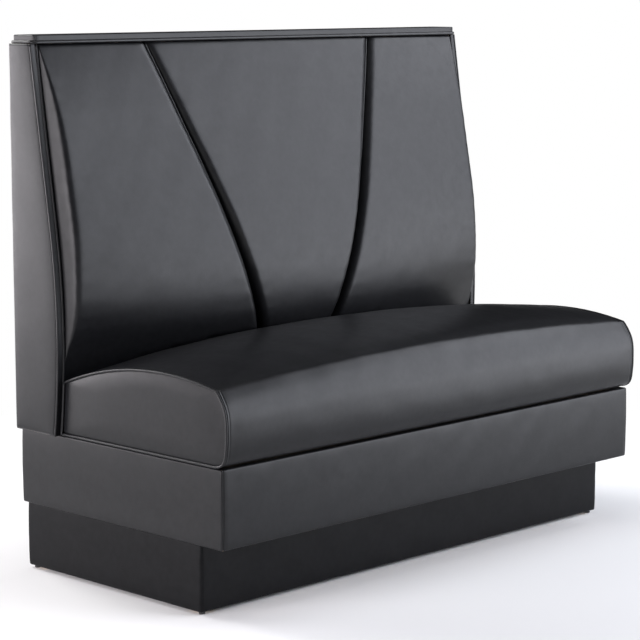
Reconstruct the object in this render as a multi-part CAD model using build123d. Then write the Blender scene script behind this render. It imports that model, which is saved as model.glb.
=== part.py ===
from build123d import *
import os
from math import atan, cos, sin, sqrt

# Restaurant booth seat for one side of a table, fully upholstered.
# Millimetres. X runs along the bench, the seat faces -Y, Z is up.
# The origin is on the floor under the middle of the overall box.

# Seat box, the upholstered apron that the others are set out from
box_length = 1210.0
box_depth = 589.0
box_height = 150.0
box_wall = 18.0
base_panel_thickness = 12.0
deck_thickness = 12.0

# Plinth, the recessed toe kick under the box
plinth_height = 132.0
toe_recess = 72.0
plinth_end_recess = 12.5
plinth_wall = 18.0
post_side = 40.0
cross_rail_offset = 200.0
dust_cover_thickness = 0.8
dust_cover_inset = 4.0

# Vinyl covers on wadding
cover_thickness = 2.5
cover_corner_radius = 6.0
cover_edge_radius = 2.0

# Levelling glides
glide_clearance = 7.0
glide_inset = 13.0
pad_diameter = 12.0
pad_height = 4.0
pad_edge = 0.8
spigot_diameter = 5.0
socket_depth = 3.0
socket_floor_gap = 0.2
running_clearance = 0.05
hexagon_across_flats = 9.0
hexagon_height = 2.4
hexagon_lift = 0.1
stud_diameter = 6.0
stud_length = 32.0
insert_diameter = 9.5
insert_length = 18.0
insert_flange_diameter = 14.0
insert_flange_thickness = 1.2
stud_hole_spare = 2.0

# Seat cushion
seat_end_inset = 2.0
seat_overhang = 21.0
seat_lift = 3.0
seat_rear_gap = 4.0
seat_rear_lean = 9.0
seat_rear_height = 105.0
seat_crown_height = 159.0
seat_crown_setback = 211.0
seat_front_top_height = 142.0
seat_front_top_setback = 34.0
seat_nose_height = 108.0
seat_nose_setback = 3.0
seat_roll_setback = 13.0
seat_roll_height = 16.0
seat_lip_setback = 33.0
seat_end_draw_in = 3.0
seat_rear_swell = 42.0
seat_crown_swell = 34.0
seat_front_swell = 24.0
seat_swell_power = 2.2
seat_padding = 14.0
foam_clearance = 2.0
foam_board_fit = 0.4
seat_board_thickness = 15.0
seat_board_end_inset = 30.0
seat_board_front_inset = 45.0
seat_board_rear_inset = 16.0
seat_welt_diameter = 5.0
seat_welt_fit = 0.4

# Back body
back_end_overhang = 13.0
back_height = 761.0
rake_share = 0.152
border_top_setback = 66.5
knee_height = 411.0
lumbar_height = 191.0
gable_thickness = 15.0
side_cover_thickness = 3.0
border_depth = 5.0
border_welt_diameter = 4.8
border_strip_setback = 1.3
border_fit = 0.1
rear_panel_thickness = 3.0
back_board_thickness = 9.0
back_board_top_setback = 47.0
back_board_bottom_setback = 100.0
rib_thickness = 15.0
rib_offset = 200.0
top_rail_height = 38.0
top_rail_depth = 30.0
bottom_rail_thickness = 18.0
bottom_rail_depth = 84.0
board_lift = 4.0

# Back cushions and the channels between them
edge_swell = 34.0
middle_swell = 68.0
edge_roll = 22.0
edge_roll_start = 2.0
channel_roll = 24.0
channel_depth = 17.0
channel_top_depth = 9.0
channel_width = 7.0
channel_welt_diameter = 6.0
channel_welt_recess = 1.0
channel_top_half = 317.5
channel_bottom_half = 50.7
back_padding = 13.0
foam_thin_edge = 6.0
cushion_fit = 0.5
seat_to_back_gap = 1.0
channel_welt_end_lift = 160.0
channel_welt_bend = 500.0

# Cap along the top of the back
cap_height = 17.0
cap_end_inset = 8.0
cap_front_overhang = 3.0
cap_rear_inset = 3.0
cap_cover_thickness = 3.2
cap_piping_diameter = 5.8
cap_piping_proud = 2.7
cap_corner_radius = 6.0
cap_edge_radius = 2.0
cap_piping_fit = 0.2

# Fasteners
bracket_leg = 40.0
bracket_width = 40.0
bracket_thickness = 3.0
bracket_bend_radius = 4.0
bolt_diameter = 8.0
bolt_head_height = 5.0
nut_across_flats = 13.0
nut_height = 6.5
bolt_spare = 3.0
hole_clearance = 0.5
screw_diameter = 5.0
screw_head_diameter = 10.0
screw_head_height = 3.0
seat_screw_grip = 10.0
plinth_screw_grip = 30.0
cut_overrun = 5.0

# Shares along the back's height, of the swell at the ends and in the middle
swell_shares = [
    (0.0, -0.30, -0.10),
    (0.07, -0.30, -0.06),
    (0.141, -0.25, 0.20),
    (0.214, 0.08, 0.60),
    (0.273, 0.50, 0.76),
    (0.339, 0.84, 0.92),
    (0.405, 0.95, 1.0),
    (0.538, 1.0, 0.965),
    (0.67, 0.96, 0.875),
    (0.80, 0.64, 0.68),
    (0.90, 0.20, 0.46),
    (1.0, 0.0, 0.12),
]
seat_station_shares = [-1.0, -0.86, -0.62, -0.32, 0.0, 0.32, 0.62, 0.86, 1.0]
foam_row_shares = [0.0, 0.273, 0.538, 0.80, 1.0]
seat_screw_shares = [-0.8, 0.0, 0.8]
seat_screw_row_shares = [0.2, 0.8]
plinth_screw_shares = [0.2, 0.5, 0.8]
bracket_hole_share = 0.6
roll_via_share = 0.26

# Places that follow from the sizes
rear_y = (box_depth + seat_overhang) / 2
box_front_y = rear_y - box_depth
plinth_front_y = box_front_y + toe_recess
seat_front_y = box_front_y - seat_overhang
box_half = box_length / 2
plinth_half = box_half - plinth_end_recess
back_half = box_half + back_end_overhang
seat_half = box_half - seat_end_inset
plinth_bottom_z = glide_clearance
box_bottom_z = plinth_bottom_z + plinth_height
box_top_z = box_bottom_z + box_height
back_bottom_z = box_top_z
back_top_z = back_bottom_z + back_height
cap_top_z = back_top_z + cap_height
seat_bottom_z = box_top_z + seat_lift
gable_outer_x = back_half - side_cover_thickness
gable_inner_x = gable_outer_x - gable_thickness
frame_rear_y = rear_y - rear_panel_thickness
border_top_y = rear_y - border_top_setback
knee_z = back_bottom_z + knee_height
lumbar_z = back_bottom_z + lumbar_height
rake_angle = atan(rake_share)
lumbar_radius = (knee_z - lumbar_z) / sin(rake_angle)
knee_y = border_top_y - rake_share * (back_top_z - knee_z)
lumbar_y = knee_y - lumbar_radius * (1 - cos(rake_angle))
cushion_outer_x = gable_inner_x - cushion_fit
cushion_top_z = back_top_z - cushion_fit
cushion_bottom_z = back_bottom_z + board_lift
seat_rear_y = (lumbar_y + lumbar_radius - sqrt(lumbar_radius ** 2 - (lumbar_z - back_bottom_z) ** 2)
               - seat_rear_gap)


def block(x_low, x_high, y_low, y_high, z_low, z_high):
    """A plain block between two corners."""
    middle = Pos((x_low + x_high) / 2, (y_low + y_high) / 2, (z_low + z_high) / 2)
    return middle * Box(x_high - x_low, y_high - y_low, z_high - z_low)


def mirrored(shape):
    """The same shape on the other end of the bench."""
    return mirror(shape, about=Plane.YZ)


def save(node, *shapes):
    """Write one node, with each of its solids kept apart."""
    solids = [solid for shape in shapes for solid in shape.solids()]
    export_step(Compound(children=solids), os.path.join("parts", node + ".step"))
    print(node, len(solids), round(sum(solid.volume for solid in solids)))


def post_on_z(diameter, x, y, z_low, z_high):
    """A round bar standing on Z."""
    return Pos(x, y, (z_low + z_high) / 2) * Cylinder(diameter / 2, z_high - z_low)


def hexagon_on_z(across_flats, z_low, height):
    """A hexagon standing on the Z axis."""
    flats = RegularPolygon(across_flats / 2, 6, major_radius=False)
    return Pos(0, 0, z_low) * extrude(flats, height)


def side_face(points, x):
    """A flat face at one X, from (y, z) points."""
    corners = [Vector(x, y, z) for y, z in points]
    return Face(Wire.make_polygon(corners, close=True))


def border_y(z):
    """Front of the back's border at a height: a straight rake, then one large lumbar arc."""
    if z >= knee_z:
        return border_top_y - rake_share * (back_top_z - z)
    return lumbar_y + lumbar_radius - sqrt(lumbar_radius ** 2 - (lumbar_z - z) ** 2)


def board_y(z):
    """Front of the flat board behind the back cushions."""
    share = (z - back_bottom_z) / back_height
    setback = back_board_bottom_setback + share * (back_board_top_setback - back_board_bottom_setback)
    return rear_y - setback


def wrapped_cover(half, y_low, y_high, z_low, z_high):
    """A vinyl wrap round a box: outer corners rounded, inside fitting the box."""
    outer = block(-half, half, y_low, y_high, z_low, z_high)
    outer = fillet(outer.edges().filter_by(Axis.Z), cover_corner_radius)
    rims = outer.faces().sort_by(Axis.Z)[0].edges() + outer.faces().sort_by(Axis.Z)[-1].edges()
    outer = fillet(rims, cover_edge_radius)
    hollow = block(-half + cover_thickness, half - cover_thickness, y_low + cover_thickness,
                   y_high - cover_thickness, z_low - cut_overrun, z_high + cut_overrun)
    return outer - hollow


def save_wrapped_cover(prefix, half, y_low, y_high, z_low, z_high):
    """The wrap in the four pieces it is sewn from."""
    wrap = wrapped_cover(half, y_low, y_high, z_low, z_high)
    front_split = y_low + cover_corner_radius
    rear_split = y_high - cover_corner_radius
    low_x = -half - cut_overrun
    high_x = half + cut_overrun
    low_z = z_low - cut_overrun
    high_z = z_high + cut_overrun
    save(prefix + "_front", wrap & block(low_x, high_x, y_low - cut_overrun, front_split, low_z, high_z))
    save(prefix + "_rear", wrap & block(low_x, high_x, rear_split, y_high + cut_overrun, low_z, high_z))
    save(prefix + "_left", wrap & block(low_x, 0, front_split, rear_split, low_z, high_z))
    save(prefix + "_right", wrap & block(0, high_x, front_split, rear_split, low_z, high_z))


def glide_places():
    """Name and centre of each glide."""
    x = plinth_half - glide_inset
    front = plinth_front_y + glide_inset
    rear = rear_y - glide_inset
    return [("front_left", -x, front), ("front_right", x, front),
            ("rear_left", -x, rear), ("rear_right", x, rear)]


def glide_pad():
    """Round foot with a socket on top, on its own axis."""
    pad = Pos(0, 0, pad_height / 2) * Cylinder(pad_diameter / 2, pad_height)
    pad = chamfer(pad.edges().filter_by(GeomType.CIRCLE), pad_edge)
    socket = post_on_z(spigot_diameter + 2 * running_clearance, 0, 0, pad_height - socket_depth,
                       pad_height + cut_overrun)
    return pad - socket


def glide_stud():
    """Threaded stud with a hexagon to turn it by and a spigot for the pad."""
    hexagon_z = pad_height + hexagon_lift
    stud_z = hexagon_z + hexagon_height
    spigot = post_on_z(spigot_diameter, 0, 0, pad_height - socket_depth + socket_floor_gap, hexagon_z)
    hexagon = hexagon_on_z(hexagon_across_flats, hexagon_z, hexagon_height)
    shank = post_on_z(stud_diameter, 0, 0, stud_z, stud_z + stud_length)
    tip = shank.edges().filter_by(GeomType.CIRCLE).sort_by(Axis.Z)[-1]
    shank = chamfer(tip, pad_edge)
    return spigot + hexagon + shank


def threaded_insert():
    """Flanged metal insert that the stud runs in."""
    sleeve = post_on_z(insert_diameter, 0, 0, plinth_bottom_z, plinth_bottom_z + insert_length)
    flange = post_on_z(insert_flange_diameter, 0, 0, plinth_bottom_z,
                       plinth_bottom_z + insert_flange_thickness)
    bore = post_on_z(stud_diameter + 2 * running_clearance, 0, 0, plinth_bottom_z - cut_overrun,
                     plinth_bottom_z + insert_length + cut_overrun)
    return sleeve + flange - bore


def build_glides():
    """Pads, studs and inserts, each pad and stud in a node of its own."""
    inserts = []
    for name, x, y in glide_places():
        place = Pos(x, y, 0)
        save("glide_pad_" + name, place * glide_pad())
        save("glide_stud_" + name, place * glide_stud())
        inserts.append(place * threaded_insert())
    save("threaded_inserts", *inserts)


def corner_post(x, y):
    """Plinth post with its insert hole and the room the stud needs above it."""
    outer_x = plinth_half - cover_thickness
    x_low, x_high = (-outer_x, -outer_x + post_side) if x < 0 else (outer_x - post_side, outer_x)
    front = plinth_front_y + cover_thickness
    rear = rear_y - cover_thickness
    y_low, y_high = (front, front + post_side) if y < 0 else (rear - post_side, rear)
    post = block(x_low, x_high, y_low, y_high, plinth_bottom_z, box_bottom_z)
    stud_top_z = pad_height + hexagon_lift + hexagon_height + stud_length
    flange_hole = post_on_z(insert_flange_diameter, x, y, plinth_bottom_z - cut_overrun,
                            plinth_bottom_z + insert_flange_thickness)
    sleeve_hole = post_on_z(insert_diameter, x, y, plinth_bottom_z - cut_overrun,
                            plinth_bottom_z + insert_length)
    stud_hole = post_on_z(stud_diameter + 2 * hole_clearance, x, y, plinth_bottom_z,
                          stud_top_z + stud_hole_spare)
    return post - flange_hole - sleeve_hole - stud_hole


def plinth_screw_places():
    """Screws through the base panel into the plinth's cross rails."""
    front = plinth_front_y + cover_thickness + plinth_wall
    rear = rear_y - cover_thickness - plinth_wall
    return [(x, front + share * (rear - front)) for x in (-cross_rail_offset, cross_rail_offset)
            for share in plinth_screw_shares]


def build_plinth():
    """Posts, rails, cross rails, dust cover and vinyl of the toe kick."""
    outer_x = plinth_half - cover_thickness
    front = plinth_front_y + cover_thickness
    rear = rear_y - cover_thickness
    rail_x = outer_x - post_side
    low, high = plinth_bottom_z, box_bottom_z
    save("plinth_corner_posts", *[corner_post(x, y) for _, x, y in glide_places()])
    save("plinth_front_rail", block(-rail_x, rail_x, front, front + plinth_wall, low, high))
    save("plinth_rear_rail", block(-rail_x, rail_x, rear - plinth_wall, rear, low, high))
    end_rail = block(-outer_x, -outer_x + plinth_wall, front + post_side, rear - post_side, low, high)
    save("plinth_end_rail_left", end_rail)
    save("plinth_end_rail_right", mirrored(end_rail))
    cross = block(cross_rail_offset - plinth_wall / 2, cross_rail_offset + plinth_wall / 2,
                  front + plinth_wall, rear - plinth_wall, low, high)
    for x, y in plinth_screw_places():
        cross -= post_on_z(screw_diameter, abs(x), y, high - plinth_screw_grip, high + cut_overrun)
    save("plinth_cross_rails", mirrored(cross), cross)
    save_wrapped_cover("plinth_cover", plinth_half, plinth_front_y, rear_y, low, high)
    sheet_z = low - dust_cover_thickness
    sheet_x = rail_x - dust_cover_inset
    sheet = block(-sheet_x, sheet_x, front + dust_cover_inset, rear - dust_cover_inset, sheet_z, low)
    wide_x = outer_x - dust_cover_inset
    wide_y = post_side + dust_cover_inset
    sheet += block(-wide_x, wide_x, front + wide_y, rear - wide_y, sheet_z, low)
    save("dust_cover", sheet)


def seat_screw_places():
    """Screws up through the deck into the seat board."""
    front = seat_front_y + seat_board_front_inset
    rear = seat_rear_y - seat_board_rear_inset
    half = seat_half - seat_board_end_inset
    return [(share * half, front + row * (rear - front)) for share in seat_screw_shares
            for row in seat_screw_row_shares]


def bracket_bolt_places():
    """Bolts through the brackets, the bottom rail and the deck."""
    reach = rib_thickness / 2 + bracket_leg * bracket_hole_share
    y = frame_rear_y - bottom_rail_depth / 2
    return [(side * rib_offset + turn * reach, y) for side in (-1, 1) for turn in (-1, 1)]


def build_box():
    """Rails, panels and vinyl of the seat box."""
    outer_x = box_half - cover_thickness
    front = box_front_y + cover_thickness
    rear = rear_y - cover_thickness
    inner_x = outer_x - box_wall
    low, deck_z = box_bottom_z, box_top_z - deck_thickness
    base_z = low + base_panel_thickness
    save("box_front_rail", block(-outer_x, outer_x, front, front + box_wall, low, deck_z))
    save("box_rear_rail", block(-outer_x, outer_x, rear - box_wall, rear, low, deck_z))
    end_rail = block(-outer_x, -inner_x, front + box_wall, rear - box_wall, low, deck_z)
    save("box_end_rail_left", end_rail)
    save("box_end_rail_right", mirrored(end_rail))
    cross = block(cross_rail_offset - box_wall / 2, cross_rail_offset + box_wall / 2,
                  front + box_wall, rear - box_wall, base_z, deck_z)
    for x, y in plinth_screw_places():
        cross -= post_on_z(screw_head_diameter + 2 * hole_clearance, abs(x), y, base_z - cut_overrun,
                           base_z + screw_head_height + hole_clearance)
    save("box_cross_rails", mirrored(cross), cross)
    base = block(-inner_x, inner_x, front + box_wall, rear - box_wall, low, base_z)
    for x, y in plinth_screw_places():
        base -= post_on_z(screw_diameter, x, y, low - cut_overrun, base_z + cut_overrun)
    save("box_base_panel", base)
    deck = block(-outer_x, outer_x, front, rear, deck_z, box_top_z)
    for x, y in seat_screw_places():
        deck -= post_on_z(screw_diameter, x, y, deck_z - cut_overrun, box_top_z + cut_overrun)
    for x, y in bracket_bolt_places():
        deck -= post_on_z(bolt_diameter, x, y, deck_z - cut_overrun, box_top_z + cut_overrun)
    save("seat_deck", deck)
    save_wrapped_cover("apron_cover", box_half, box_front_y, rear_y, low, box_top_z)


def seat_swell(x):
    """How much of the seat's swell a place along the bench has."""
    return 1 - min(1, abs(x) / seat_half) ** seat_swell_power


def seat_points(x, inset):
    """Points of the seat's side view at one X, moved inwards by the inset."""
    swell = seat_swell(x)
    draw_in = seat_end_draw_in * (1 - swell)
    front = seat_front_y + draw_in + inset
    top = seat_bottom_z - inset
    rear_top = (seat_rear_y - seat_rear_lean - inset, top + seat_rear_height + swell * seat_rear_swell)
    crown = (seat_front_y + seat_crown_setback, top + seat_crown_height + swell * seat_crown_swell)
    front_top = (front + seat_front_top_setback, top + seat_front_top_height + swell * seat_front_swell)
    nose = (front + seat_nose_setback, top + seat_nose_height + swell * seat_front_swell / 2)
    roll = (front + seat_roll_setback, seat_bottom_z + seat_roll_height)
    lip = (front + seat_lip_setback, seat_bottom_z)
    corner_via = (front + (seat_nose_setback + seat_front_top_setback) * roll_via_share,
                  nose[1] + (front_top[1] - nose[1]) * (1 - roll_via_share))
    nose_share = sqrt(seat_nose_setback) / (sqrt(seat_nose_setback) + sqrt(seat_roll_setback))
    face_via = (front, nose[1] - nose_share * (nose[1] - roll[1]))
    roll_via = (roll[0] + (lip[0] - roll[0]) * roll_via_share,
                lip[1] + (roll[1] - lip[1]) * roll_via_share)
    return rear_top, crown, front_top, corner_via, nose, face_via, roll, roll_via, lip


def seat_section(x, inset, bottom_z):
    """The seat's side view at one X as a face of lines and arcs."""
    rear_top, crown, front_top, corner_via, nose, face_via, roll, roll_via, lip = [
        Vector(x, y, z) for y, z in seat_points(x, inset)]
    rear_bottom = Vector(x, seat_rear_y - inset, seat_bottom_z)
    outline = [
        Edge.make_line(rear_bottom, rear_top),
        Edge.make_three_point_arc(rear_top, crown, front_top),
        Edge.make_three_point_arc(front_top, corner_via, nose),
        Edge.make_three_point_arc(nose, face_via, roll),
        Edge.make_three_point_arc(roll, roll_via, lip),
    ]
    if bottom_z < seat_bottom_z:
        low_front = Vector(x, lip.Y, bottom_z)
        low_rear = Vector(x, rear_bottom.Y, bottom_z)
        outline += [Edge.make_line(lip, low_front), Edge.make_line(low_front, low_rear),
                    Edge.make_line(low_rear, rear_bottom)]
    else:
        outline.append(Edge.make_line(lip, rear_bottom))
    return Face(Wire(outline))


def seat_form(bottom_z, end_inset, outset=0):
    """The crowned seat, lofted along the bench, and larger all round by the outset."""
    half = seat_half - end_inset
    sections = [seat_section(share * half, -outset, bottom_z) for share in seat_station_shares]
    return loft(sections)


def foam_block(x, inset):
    """Side view of the seat's foam at one X: straight cuts inside the padded cover."""
    rear_top, crown, front_top, _, nose, _, roll, _, lip = seat_points(x, inset)
    outline = [(seat_rear_y - inset, seat_bottom_z), rear_top, crown, front_top, nose, roll,
               (lip[0], seat_bottom_z)]
    return side_face(outline, x)


def seat_foam_form(inset):
    """The block of foam under the seat's padded cover."""
    half = seat_half - seat_welt_diameter - inset
    sections = [foam_block(share * half, inset) for share in (-1, 0, 1)]
    return loft(sections, ruled=True)


def seat_board():
    """Plywood board that the foam stands on and the screws hold."""
    half = seat_half - seat_board_end_inset
    board = block(-half, half, seat_front_y + seat_board_front_inset,
                  seat_rear_y - seat_board_rear_inset, box_top_z, box_top_z + seat_board_thickness)
    for x, y in seat_screw_places():
        board -= post_on_z(screw_diameter, x, y, box_top_z - cut_overrun, box_top_z + seat_screw_grip)
    return board


def seat_end_welt():
    """Piping in the step round the left end panel."""
    x = -seat_half + seat_welt_diameter / 2
    rear_top, crown, front_top, corner_via, nose, face_via, roll, roll_via, lip = [
        Vector(x, y, z) for y, z in seat_points(x, seat_welt_diameter / 2)]
    path = Wire([
        Edge.make_three_point_arc(rear_top, crown, front_top),
        Edge.make_three_point_arc(front_top, corner_via, nose),
        Edge.make_three_point_arc(nose, face_via, roll),
    ])
    start = Plane(origin=path @ 0, z_dir=path % 0)
    return sweep(start * Circle(seat_welt_diameter / 2), path=path, transition=Transition.ROUND)


def seat_end_panel():
    """Left end panel of the cover, one welt smaller all round."""
    step = seat_welt_diameter + seat_welt_fit
    face = seat_section(-seat_half, step, seat_bottom_z)
    return extrude(face, step, dir=(1, 0, 0))


def build_seat():
    """Board, foam, cover and end welts of the seat cushion."""
    board = seat_board()
    save("seat_board", board)
    end_step = seat_welt_diameter + seat_welt_fit
    half = seat_half - seat_board_end_inset
    board_room = block(-half, half, seat_front_y + seat_board_front_inset,
                       seat_rear_y - seat_board_rear_inset, box_top_z - cut_overrun,
                       box_top_z + seat_board_thickness + foam_board_fit)
    save("seat_foam", seat_foam_form(seat_padding + foam_clearance) - board_room)
    outer = seat_form(seat_bottom_z, end_step)
    opening = block(-half, half, seat_front_y + seat_board_front_inset,
                    seat_rear_y - seat_board_rear_inset, seat_bottom_z - cut_overrun,
                    seat_bottom_z + cut_overrun)
    inner = seat_foam_form(seat_padding)
    panel = seat_end_panel()
    save("seat_cover", outer - inner - opening + panel + mirrored(panel))
    welt = seat_end_welt()
    save("seat_end_welts", welt, mirrored(welt))


def swell_at(z, column):
    """Swell of the back cushions at a height, between the rows of shares."""
    share = (z - cushion_bottom_z) / (cushion_top_z - cushion_bottom_z)
    share = min(1, max(0, share))
    for lower, upper in zip(swell_shares, swell_shares[1:]):
        if share <= upper[0]:
            part = (share - lower[0]) / (upper[0] - lower[0])
            return lower[column] + part * (upper[column] - lower[column])
    return swell_shares[-1][column]


def cushion_y(x, z):
    """Front of the back cushions, without their rolled edges."""
    edge = edge_swell * swell_at(z, 1)
    middle = middle_swell * swell_at(z, 2)
    across = 1 - (x / cushion_outer_x) ** 2
    return border_y(z) - edge - (middle - edge) * across


def channel_x(z):
    """Half distance between the two channels at a height."""
    share = (z - back_bottom_z) / back_height
    return channel_bottom_half + share * (channel_top_half - channel_bottom_half)


def channel_y(x, z):
    """Bottom of the rolled edge beside a channel."""
    share = max(0, (z - knee_z) / (back_top_z - knee_z))
    depth = channel_depth + share * (channel_top_depth - channel_depth)
    return min(cushion_y(x, z) + depth, board_y(z) - channel_welt_diameter)


def roll_arc(wall, front, z):
    """Rolled corner from a side wall to the cushion's front, as an arc."""
    via = (wall[0] + (front[0] - wall[0]) * roll_via_share,
           front[1] + (wall[1] - front[1]) * roll_via_share)
    return Edge.make_three_point_arc(Vector(*wall, z), Vector(*via, z), Vector(*front, z))


def cushion_outline(x_low, x_high, rolls, z):
    """Plan view of one cushion at a height: back edge, side walls, rolled corners, front."""
    rear = board_y(z) - cushion_fit
    corners = []
    for x, inward, roll in ((x_low, 1, rolls[0]), (x_high, -1, rolls[1])):
        if roll == edge_roll:
            wall_y = border_y(z) + edge_roll_start
        else:
            wall_y = channel_y(x, z)
        wall_y = min(wall_y, board_y(z) - cushion_fit * 2)
        front_x = x + inward * roll
        corners.append(((x, wall_y), (front_x, cushion_y(front_x, z))))
    (low_wall, low_front), (high_wall, high_front) = corners
    middle_x = (low_front[0] + high_front[0]) / 2
    middle = Vector(middle_x, cushion_y(middle_x, z), z)
    low_rear = Vector(x_low, rear, z)
    high_rear = Vector(x_high, rear, z)
    return Face(Wire([
        Edge.make_line(low_rear, Vector(*low_wall, z)),
        roll_arc(low_wall, low_front, z),
        Edge.make_three_point_arc(Vector(*low_front, z), middle, Vector(*high_front, z)),
        roll_arc(high_wall, high_front, z).reversed(),
        Edge.make_line(Vector(*high_wall, z), high_rear),
        Edge.make_line(high_rear, low_rear),
    ]))


def cushion_ends(which, z):
    """The two ends of a back cushion at a height, and how deep each end rolls."""
    seam = channel_x(z)
    half_gap = channel_width / 2
    if which == "centre":
        return (-seam + half_gap, seam - half_gap), (channel_roll, channel_roll)
    return (-cushion_outer_x, -seam - half_gap), (edge_roll, channel_roll)


def cushion_form(which):
    """One back cushion, lofted from its bottom to its top."""
    sections = []
    for share, _, _ in swell_shares:
        z = cushion_bottom_z + share * (cushion_top_z - cushion_bottom_z)
        (x_low, x_high), rolls = cushion_ends(which, z)
        sections.append(cushion_outline(x_low, x_high, rolls, z))
    return loft(sections)


def foam_outline(which, z, clearance, rear_reach):
    """Plan view at a height of the hollow behind a padded cover, or with a clearance, of its foam."""
    (x_low, x_high), rolls = cushion_ends(which, z)
    low_x = x_low + rolls[0] + clearance
    high_x = x_high - rolls[1] - clearance
    rear = board_y(z) - cushion_fit
    corners = [(low_x, rear + rear_reach)]
    for x in (low_x, (low_x + high_x) / 2, high_x):
        front = min(cushion_y(x, z) + back_padding, rear - foam_thin_edge)
        corners.append((x, front + clearance))
    corners.append((high_x, rear + rear_reach))
    return Face(Wire.make_polygon([Vector(x, y, z) for x, y in corners], close=True))


def back_foam_form(which, clearance, rear_reach):
    """The block of foam behind one padded cover, cut straight, or the hollow for it."""
    low_z = cushion_bottom_z + back_padding + clearance
    high_z = cushion_top_z - back_padding - clearance
    heights = [low_z + share * (high_z - low_z) for share in foam_row_shares]
    return loft([foam_outline(which, z, clearance, rear_reach) for z in heights], ruled=True)


def channel_welt():
    """Piping that lies in the left channel."""
    count = len(swell_shares)
    low_z = cushion_bottom_z + channel_welt_end_lift
    points = []
    for share, _, _ in swell_shares:
        z = cushion_bottom_z + share * (cushion_top_z - cushion_bottom_z)
        if z > low_z:
            points.append((channel_x(z), channel_y(channel_x(z), z) - channel_welt_recess, z))
    points = [Vector(-x, y, z) for x, y, z in points]
    path = FilletPolyline(*points, radius=channel_welt_bend)
    start = Plane(origin=path @ 0, z_dir=path % 0)
    tube = sweep(start * Circle(channel_welt_diameter / 2), path=path)
    return tube & block(-box_half, 0, box_front_y, rear_y, back_bottom_z, cushion_top_z)


def build_back_cushions():
    """Foam, covers and welts of the three back cushions."""
    cover_room = seat_form(seat_bottom_z - cut_overrun, -seat_to_back_gap, seat_to_back_gap)
    foam_gap = seat_to_back_gap + back_padding
    inner_room = seat_form(seat_bottom_z - cut_overrun, -foam_gap, foam_gap)
    foam_gap += foam_clearance
    foam_room = seat_form(seat_bottom_z - cut_overrun, -foam_gap, foam_gap)
    for which in ("left", "centre"):
        hollow = back_foam_form(which, 0, cut_overrun) - inner_room
        foam = back_foam_form(which, foam_clearance, 0) - foam_room
        cover = cushion_form(which) - cover_room - hollow
        save("back_cover_" + which, cover)
        save("back_foam_" + which, foam)
        if which == "left":
            save("back_cover_right", mirrored(cover))
            save("back_foam_right", mirrored(foam))
    welt = channel_welt()
    save("back_channel_welts", welt, mirrored(welt))


def border_path(x, setback):
    """Line of the border in side view, at one X, moved back by the setback."""
    top = Vector(x, border_top_y + setback, back_top_z)
    knee = Vector(x, knee_y + setback, knee_z)
    lumbar = Vector(x, lumbar_y + setback, lumbar_z)
    bottom = Vector(x, border_y(back_bottom_z) + setback, back_bottom_z)
    return Edge.make_line(top, knee), Edge.make_three_point_arc(knee, lumbar, bottom)


def border_prism(x_low, x_high, front_setback, rear):
    """A plate between two X whose front edge follows the border."""
    line, arc = border_path(x_low, front_setback)
    if rear is None:
        rear_line, rear_arc = border_path(x_low, border_depth - border_fit)
        outline = [line, arc, Edge.make_line(arc @ 1, rear_arc @ 1), rear_arc, rear_line,
                   Edge.make_line(rear_line @ 0, line @ 0)]
    else:
        low_rear = Vector(x_low, rear, back_bottom_z)
        high_rear = Vector(x_low, rear, back_top_z)
        outline = [line, arc, Edge.make_line(arc @ 1, low_rear), Edge.make_line(low_rear, high_rear),
                   Edge.make_line(high_rear, line @ 0)]
    return extrude(Face(Wire(outline)), x_high - x_low, dir=(1, 0, 0))


def border_welt(x):
    """Piping down the border at one X."""
    setback = border_welt_diameter / 2
    path = Wire(border_path(x, setback))
    start = Plane(origin=path @ 0, z_dir=path % 0)
    tube = sweep(start * Circle(border_welt_diameter / 2), path=path)
    return tube & block(0, back_half, box_front_y, rear_y, back_bottom_z, back_top_z)


def build_back_ends():
    """Gables, side panels, border strips and their welts."""
    gable = border_prism(gable_inner_x, gable_outer_x, border_depth, frame_rear_y)
    save("back_gable_right", gable)
    save("back_gable_left", mirrored(gable))
    panel = border_prism(gable_outer_x, back_half, border_depth + border_fit, rear_y)
    rear_corner = panel.edges().filter_by(Axis.Z).group_by(Axis.X)[-1].sort_by(Axis.Y)[-1]
    panel = fillet(rear_corner, cover_edge_radius)
    save("back_side_panel_right", panel)
    save("back_side_panel_left", mirrored(panel))
    outer_welt_x = back_half - border_welt_diameter / 2
    inner_welt_x = gable_inner_x + border_welt_diameter / 2 + border_fit
    strip = border_prism(inner_welt_x + border_welt_diameter / 2 + border_fit,
                         outer_welt_x - border_welt_diameter / 2 - border_fit,
                         border_strip_setback, None)
    save("border_strips", mirrored(strip), strip)
    welts = [border_welt(outer_welt_x), border_welt(inner_welt_x)]
    save("border_welts", *[mirrored(welt) for welt in welts], *welts)


def back_rib():
    """Upright rib behind the board, on the right."""
    low, high = back_bottom_z + bottom_rail_thickness, back_top_z - top_rail_height
    x_low = rib_offset - rib_thickness / 2
    front = [(board_y(low) + back_board_thickness, low), (board_y(high) + back_board_thickness, high)]
    outline = front + [(frame_rear_y, high), (frame_rear_y, low)]
    return extrude(side_face(outline, x_low), rib_thickness, dir=(1, 0, 0))


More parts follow.
